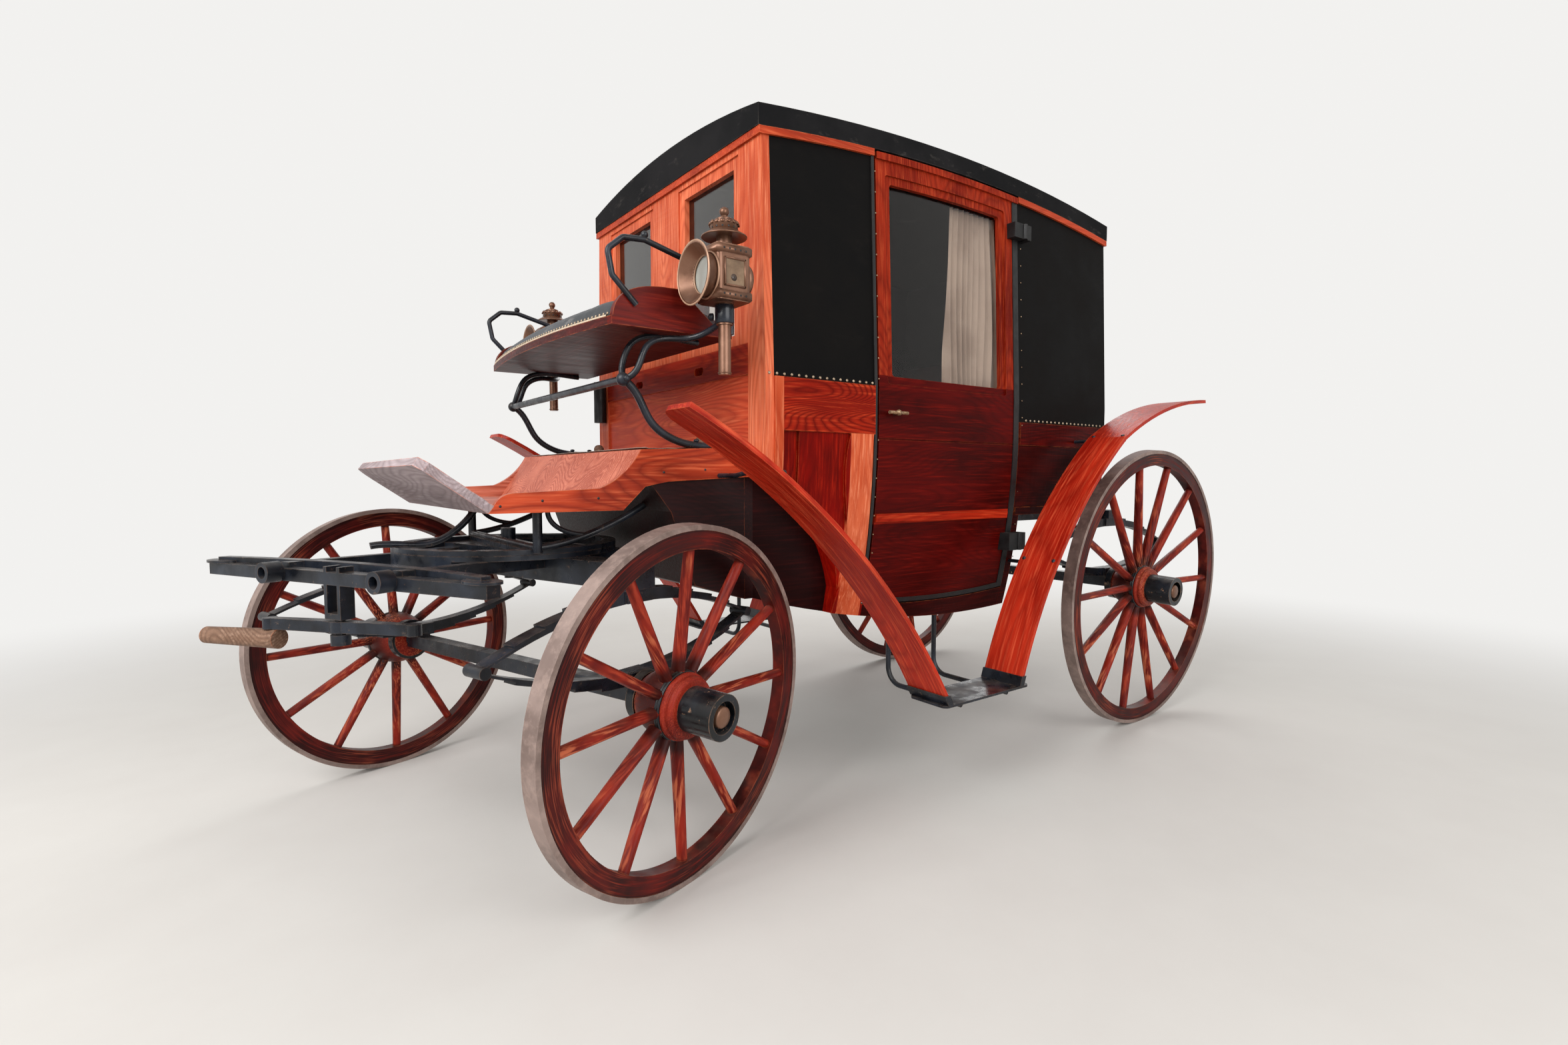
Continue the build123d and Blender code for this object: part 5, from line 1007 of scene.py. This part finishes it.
def studs(name, kind, paths, radius, rise, spacing=28, metal="black_enamel", slot="iron_black"):
    """paths holds lists of (place, outward) pairs; radius and spacing are in millimetres."""
    tree, sockets = kind
    places, edges, outward = [], [], []
    for run in paths:
        for k, (place, out) in enumerate(run):
            if k and kind is NAIL_ROW:
                edges.append((len(places) - 1, len(places)))
            places.append(place)
            outward.extend(Vector(out).normalized())
    route = bpy.data.meshes.new(name + "_route")
    route.from_pydata(places, edges, [])
    route.attributes.new("outward", "FLOAT_VECTOR", "POINT").data.foreach_set("vector", outward)
    holder = linked(name + "_route", route)
    modifier = holder.modifiers.new("studs", "NODES")
    modifier.node_group = tree
    given = {"Spacing": spacing * MM, "Radius": radius * MM, "Rise": rise, "Metal": finishes[metal]}
    for label, value in given.items():
        modifier[sockets[label]] = value
    heads = evaluated(holder)
    bpy.data.objects.remove(holder)
    piece(name, heads, metal)


def both_sides(run):
    """The run as it is given, and its mirror image on the other side of the coach."""
    return [run, [(Vector((p.x, -p.y, p.z)), (o[0], -o[1], o[2])) for p, o in run]]


print("stud trees", NAIL_ROW[0].name, "and", BOLTS[0].name)

# %% [markdown]
# ## Nail rows on the leather
# The front quarters end above the belt plank in a row of nails, and so does the lower rear quarter,
# which runs on across the back. The seat's leather is nailed under a cord of piping along its front.

# %% Nails and piping
WALL_HALF = 612
OUT = (0, 1, 0)
QUARTER_ROWS = ((1384, (-578, -990)), (1300, (-1815, -2372)))
BACK_ROW = (-2380, 604, 1300)
SEAT_NAIL_Y = range(-520, 521, 26)
NAIL_PROUD, NAIL_LIFT, NAIL_TILT = 3, 9, 0.25
BRASS_NAILS = {"metal": "nail_brass", "slot": "brass_aged"}
PIPING_RADIUS = 3.2
PIPING_OFFSET = Vector((2, 0, -6.5)) * MM

rows = []
for z, ends in QUARTER_ROWS:
    rows += both_sides([(at(x, WALL_HALF, z), OUT) for x in ends])
back_x, back_half, back_z = BACK_ROW
rows.append([(at(back_x, y, back_z), (-1, 0, 0)) for y in (-back_half, back_half)])
studs("quarter_nails", NAIL_ROW, rows, 5.0, 0.7, 27, **BRASS_NAILS)
seat_edge = []
for y in SEAT_NAIL_Y:
    slope = 2 * CUSHION_BOW * y / BOW_HALF**2
    nail = at(cushion_front(y) + NAIL_PROUD, y, SEAT_TOP + NAIL_LIFT)
    seat_edge.append((nail, (1, slope, NAIL_TILT)))
studs("seat_nails", NAIL_ROW, [seat_edge], 4.2, 0.6, 19, **BRASS_NAILS)

cord_curve = bpy.data.curves.new("piping", "CURVE")
cord_curve.dimensions = "3D"
cord_curve.bevel_depth = PIPING_RADIUS * MM
cord_curve.bevel_resolution = 3
cord_line = cord_curve.splines.new("NURBS")
cord_line.points.add(len(seat_edge) - 1)
for point, (place, _) in zip(cord_line.points, seat_edge):
    point.co = (*(place + PIPING_OFFSET), 1)
cord_line.use_endpoint_u = True
cord_holder = linked("piping_line", cord_curve)
cord_mesh = evaluated(cord_holder)
bpy.data.objects.remove(cord_holder)
piece("seat_piping", cord_mesh, "piping_cord")

# %% [markdown]
# ## Bolts on boards and irons
# Two coach bolts hold each mudguard to each of its stays, and more show on the boot and the feet and
# arms of the seat irons. Small pins hold the edging of the door posts. They are points for the stud
# tree, listed as places from the kingpin.

# %% Bolts
GUARD_BOLTS = (  # x, z, lean of the board forwards
    (-460.3, 1090, -0.77),
    (-1685.5, 775, 1.92),
    (-2135.9, 1243, 0.58),
)
GUARD_BOLT_Y = (708, 832)
BOOT_BOLTS = ((-285, 1092), (-420, 1100), (-90, 1022), (60, 1018), (165, 1006))
BOOT_FACE_Y = 510
ARM_BOLTS = ((-172, 522, 1345), (-172, 470, 1345))
FOOT_BOLTS = ((-400, 494, 1185), (-470, 494, 1185))
PIN_RUNS = ((-1016, 1400, 2070), (-1016, 700, 1200), (-1785, 700, 1280), (-1785, 1310, 1960))
EDGING_PROUD = 4.2
TURN_UNDER = 20 / 288

guard_bolts, boot_bolts, iron_bolts, edge_pins = [], [], [], []
for x, z, lean in GUARD_BOLTS:
    for y in GUARD_BOLT_Y:
        guard_bolts += both_sides([(at(x, y, z), (lean, 0, 1))])
studs("guard_bolts", BOLTS, guard_bolts, 7.5, 0.5)
for x, z in BOOT_BOLTS:
    boot_bolts += both_sides([(at(x, BOOT_FACE_Y, z), OUT)])
studs("boot_bolts", BOLTS, boot_bolts, 3.6, 0.5)
for spots, out in ((ARM_BOLTS, OUT), (FOOT_BOLTS, (0, 0, 1))):
    for spot in spots:
        iron_bolts += both_sides([(at(*spot), out)])
studs("iron_bolts", BOLTS, iron_bolts, 9.0, 0.55)


def cab_side(z):
    """The wall leans in above the sill of the window and turns under below the belt."""
    return WALL_HALF - max(0, z - SILL_Z) * WALL_LEAN - max(0, BELT_BOTTOM - z) * TURN_UNDER


for x, *heights in PIN_RUNS:
    edge_pins += both_sides([(at(x, cab_side(z) + EDGING_PROUD, z), OUT) for z in heights])
studs("edging_pins", NAIL_ROW, edge_pins, 2.6, 0.7, 62, metal="aged_brass", slot="brass_aged")

# %% [markdown]
# ## Nave rings and cap nuts
# A wheelwright turns mouldings on the front of the nave, shrinks an iron band on behind them, and
# closes the hub with a brass nut. All three are lathe work on the wheel's own axle, so their
# profiles are spun round the axis of each wheel's joint, and they turn with the wheel.

# %% Nave rings and cap nuts
NAVE_BAND = [(80, -24), (91, -24), (94, -22), (94, -17), (92, -16), (94, -15), (93, -9), (90, -8)]
NAVE_BAND.append((80, -8))
NAVE_MOULDS = (
    [(76, -8), (88.5, -8), (90, -5), (89.5, 1), (86, 5), (82, 6), (76, 6)],
    [(68, 7), (80, 7), (83, 10), (82.5, 17), (79, 23), (74, 25.7), (68, 25.7)],
)
CAP_NUT = [(0, 101.5), (27.8, 101.5), (27.8, 127), (25, 130.2), (12, 132.2), (0, 132.5)]
for wheel in WHEELS:
    spin = joints[wheel + "_spin"]
    outward = Vector(spin["axis"]) * (1 if "left" in wheel else -1)
    for part, profiles, sides, material, slot in (
        ("_nave_band", [NAVE_BAND], 64, "hub_enamel", "iron_black"),
        ("_nave_moulds", NAVE_MOULDS, 64, wheel + "_paint", "wheel_wood"),
        ("_cap_nut", [CAP_NUT], 32, "lamp_copper", "brass_aged"),
    ):
        bm = bmesh.new()
        for profile in profiles:
            turn(bm, spin["pos_m"], outward, profile, sides)
        piece(wheel + part, closed(bm, part), material, wheel)

# %% [markdown]
# ## Lamp fittings
# A carriage lamp burns a candle in its tube, pushed up by a spring. The parts that a solid leaves
# out are what make it a lamp: a bead round each opening, a pierced gallery with a scalloped
# crown under the finial, a glazed light in the outer side, rows of air slots, a rounded back that
# holds the reflector, and the black clamp that grips the tube. The air slots and a hole in each
# light are black studs and discs: painted shade where the openings are.

# %% Lamp fittings
LAMP_X, LAMP_Y = -390, 668
BODY_HALF = 52
BELL_FACE, BELL_Z = -338, 1612
UP, FORWARD = (0, 0, 1), (1, 0, 0)
GALLERY = [(33, 1731), (37, 1732), (37, 1750), (40, 1753), (37, 1755), (29, 1752)]
PETALS, PETAL_REACH, PETAL_Z = 14, 38, 1755
PETAL = [(0, -3), (6, -2), (7, 0), (6, 2), (0, 3)]
SLOT_REACH, SLOT_Z = 37.2, 1741
FINIAL = [(0, 1772), (7, 1774), (12, 1782), (13.5, 1788), (11, 1795), (5, 1799), (0, 1799.5)]
TUBE_BEADS = ((21.5, 1700, 2.5), (60, 1720, 2.2), (17.5, 1360, 2.0), (26, 1546, 2.5), (23, 1693, 3))
BACK = [(0, -4), (49, -4), (49, 6), (44, 14), (34, 20), (18, 25), (0, 26)]
BELL_BEADS = ((82, 45, 2.2), (51, 12, 3.0), (60, 2, 3.0))
BELL_LINING = [(50.5, 16.5), (78.5, 45.5), (80, 46.5), (81, 45.5), (77, 43), (49.5, 15)]
PANE_Z = 1617
PANE_BARS = ((1582, 5, 0, 66), (1652, 5, 0, 66), (PANE_Z, 75, -31, 5), (PANE_Z, 75, 31, 5))
PANE_SIZE, PANE_PROUD, PANE_EASE = (58, 2, 66), 0.8, 0.0003
CORNICES, CORNICE_SIZE, CORNICE_EASE = (1559, 1676), (110, 110, 24), 0.003
CORNICE_SLOTS, SLOT_PROUD = (-34, -17, 0, 17, 34), 3
PANE_HOLE_SHADE = [(0, 0), (9, 0), (9, 1), (0, 1)]
CLAMP = [(17.5, 1492), (25, 1492), (26, 1494), (26, 1539), (25, 1541), (17.5, 1541)]
CLAMP_BOLT = [(0, 14), (8, 12), (10, 8), (10, 0), (6, -2), (0, -2)]

copper, dark_parts, panes, reflector = (bmesh.new() for _ in range(4))
slots = []
for side in (1, -1):
    foot = at(LAMP_X, side * LAMP_Y, 0)
    turn(copper, foot, UP, GALLERY)
    for k in range(PETALS):
        angle = 2 * math.pi * k / PETALS
        c, s = math.cos(angle), math.sin(angle)
        petal = foot + Vector((PETAL_REACH * c, PETAL_REACH * s, PETAL_Z)) * MM
        turn(copper, petal, (c, s, 0.6), PETAL, 12)
        slot_place = foot + Vector((SLOT_REACH * c, SLOT_REACH * s, SLOT_Z)) * MM
        slots.append((slot_place, (c, s, 0)))
    turn(copper, foot, UP, FINIAL, 24)
    for radius, z, thick in TUBE_BEADS:
        bead(copper, foot + Vector((0, 0, z * MM)), UP, radius, thick)
    turn(copper, at(LAMP_X - BODY_HALF, side * LAMP_Y, BELL_Z), (-1, 0, 0), BACK)
    for radius, along_x, thick in BELL_BEADS:
        bead(reflector, at(BELL_FACE + along_x, side * LAMP_Y, BELL_Z), FORWARD, radius, thick)
    turn(reflector, at(BELL_FACE, side * LAMP_Y, BELL_Z), FORWARD, BELL_LINING)
    face_y = side * (LAMP_Y + BODY_HALF)
    for z, height, x, width in PANE_BARS:
        bar(copper, at(LAMP_X + x, face_y + side * 2, z), (width, 6, height))
    bar(panes, at(LAMP_X, face_y + side * PANE_PROUD, PANE_Z), PANE_SIZE, PANE_EASE)
    for z in CORNICES:
        bar(copper, at(LAMP_X, side * LAMP_Y, z), CORNICE_SIZE, CORNICE_EASE)
        slots += [(at(LAMP_X + x, face_y + side * SLOT_PROUD, z), (0, side, 0)) for x in CORNICE_SLOTS]
    # A thin black disc on each light is painted shade for a hole.
    turn(dark_parts, at(LAMP_X + 4, face_y + side * 1.5, 1603), (0, side, 0), PANE_HOLE_SHADE, 24)
    turn(dark_parts, foot, UP, CLAMP)
    turn(dark_parts, at(LAMP_X + 20, side * (LAMP_Y - 26), 1512), (0.6, -0.4 * side, 0), CLAMP_BOLT, 20)
piece("lamp_fittings", closed(copper, "lamp_fittings"), "lamp_copper")
piece("lamp_clamps", closed(dark_parts, "lamp_clamps"), "black_enamel")
piece("lamp_panes", closed(panes, "lamp_panes"), "lamp_inside", smooth=False)
piece("lamp_reflectors", closed(reflector, "lamp_reflectors"), "lamp_reflector")
# The air slots are dark flat studs: painted shade where the openings are.
studs("lamp_slots_painted_shade", BOLTS, [slots], 3.0, 0.2, metal="edging_enamel")

# %% [markdown]
# ## Canvas on the boot
# The top of the boot is covered with a pale canvas that lies loose under the irons. It is a thin
# sheet with soft ripples, low enough that the seat irons still stand on the boot.

# %% Boot canvas
CANVAS_X = (-236, -556)
CANVAS_HALF = 484
CANVAS_STEPS = (40, 90)
CANVAS_THICK = 0.0012
BOOT_TOP_FRONT, BOOT_TOP_Z, BOOT_TOP_SLOPE = -216, 1155, 13 / 349
HEM_RISE, CLOTH_LIFT, RIPPLE = 3.0, 3.2, 2.4


def canvas_place(back, across):
    x = CANVAS_X[0] + (CANVAS_X[1] - CANVAS_X[0]) * back
    y = CANVAS_HALF * (2 * across - 1)
    wide = noise.noise(Vector((x / 90, y / 160, 3.7)))
    ripple = wide + 0.5 * noise.noise(Vector((x / 30, y / 50, 8.1)))
    hem = HEM_RISE if back * CANVAS_STEPS[0] < 1.5 else 0.0
    boot_top = BOOT_TOP_Z + (BOOT_TOP_FRONT - x) * BOOT_TOP_SLOPE
    return at(x, y, boot_top + CLOTH_LIFT + RIPPLE * ripple + hem)


bm = bmesh.new()
grid(bm, canvas_place, *CANVAS_STEPS)
canvas = piece("boot_canvas", closed(bm, "boot_canvas"), "boot_canvas")
canvas.modifiers.new("thick", "SOLIDIFY").thickness = CANVAS_THICK

# %% [markdown]
# ## Turned knobs
# A pale turned ball stands on each side of the boot, behind the irons. It is spun from a profile
# with a short neck.

# %% Turned knobs
KNOB_X, KNOB_Y, KNOB_Z = -472, 400, 1166
KNOB = [(0, 0), (12, 0), (9, 5), (14, 9), (19, 18), (19, 26), (14, 35), (6, 39), (0, 39.5)]
knobs = bmesh.new()
for side in (1, -1):
    turn(knobs, at(KNOB_X, side * KNOB_Y, KNOB_Z), UP, KNOB, 32)
piece("boot_knobs", closed(knobs, "boot_knobs"), "turned_wood")

# %% [markdown]
# ## Floor, sky and lamps
# A studio would hang one large soft box high on the side the coach faces, a weaker one beside the
# camera and one behind. Three area lamps and an even sky do the same. The floor and the sky are pale
# where the camera, a reflection or the view through glass meets them, and give less light than that
# to the object, so that its colours stay as they are written and the floor keeps a soft shadow. The
# lamps are hidden from the view through glass, where one would show as a white square.

# %% Floor, sky and lamps
SKY_TONE = paint(250, 249, 247)
SKY_SHOWN = 0.93
SKY_LIGHT = 0.45
FLOOR_TONES = (paint(204, 200, 195), paint(212, 209, 204))
FLOOR_HALF = 30
FLOOR_NEAR = 2.3
FLOOR_FAR = 6.0


def looked_at(tree):
    """1 for a ray from the camera, a reflection or a pane, and 0 for one that only brings light."""
    path = add(tree, "LightPath").outputs
    seen = maths(tree, "MAXIMUM", path["Is Camera Ray"], path["Is Glossy Ray"])
    return maths(tree, "MAXIMUM", seen, path["Is Transmission Ray"])


world = scene.world = bpy.data.worlds.new("sky")
world.use_nodes = True
sky_tree = world.node_tree
strength = between(sky_tree, looked_at(sky_tree), 0.0, 1.0, SKY_LIGHT, SKY_SHOWN)
feed(sky_tree, sky_tree.nodes["Background"], {"Color": SKY_TONE, "Strength": strength})

tree, shader, place = finish("floor_paint", Roughness=0.85)
feed(tree, shader, {"Base Color": mix(tree, cloud(tree, place, 3.0, 6.0, 0.6), *FLOOR_TONES)})
distance = add(tree, "VectorMath", {0: place}, operation="LENGTH").outputs["Value"]
pale = times(tree, between(tree, distance, FLOOR_NEAR, FLOOR_FAR), looked_at(tree))
glow = add(tree, "Emission", {"Color": SKY_TONE, "Strength": SKY_SHOWN}).outputs[0]
blended = add(tree, "MixShader", {0: pale, 1: shader.outputs[0], 2: glow}).outputs[0]
feed(tree, tree.nodes["Material Output"], {"Surface": blended})
floor_mesh = bpy.data.meshes.new("floor")
corners = [(x * FLOOR_HALF, y * FLOOR_HALF, 0) for x, y in ((-1, -1), (1, -1), (1, 1), (-1, 1))]
floor_mesh.from_pydata(corners, [], [(0, 1, 2, 3)])
floor_mesh.materials.append(finishes["floor_paint"])
linked("floor", floor_mesh)

LAMPS = (
    # name, place from the kingpin, place aimed at, size in metres, watts
    ("key_lamp", (4200, 1500, 3900), (-300, 200, 900), 3.6, 330),
    ("fill_lamp", (-600, 5200, 2600), (-900, 0, 1000), 3.4, 150),
    ("rear_lamp", (-5000, -3400, 3800), (-1200, 0, 1000), 4.0, 160),
)
for name, spot, target, size, watts in LAMPS:
    lamp_data = bpy.data.lights.new(name, "AREA")
    lamp_data.size = size
    lamp_data.energy = watts
    lamp = linked(name, lamp_data)
    lamp.location = at(*spot)
    lamp.visible_transmission = False
    lamp.rotation_euler = (at(*target) - at(*spot)).to_track_quat("-Z", "Y").to_euler()
    print(name, watts, "W")
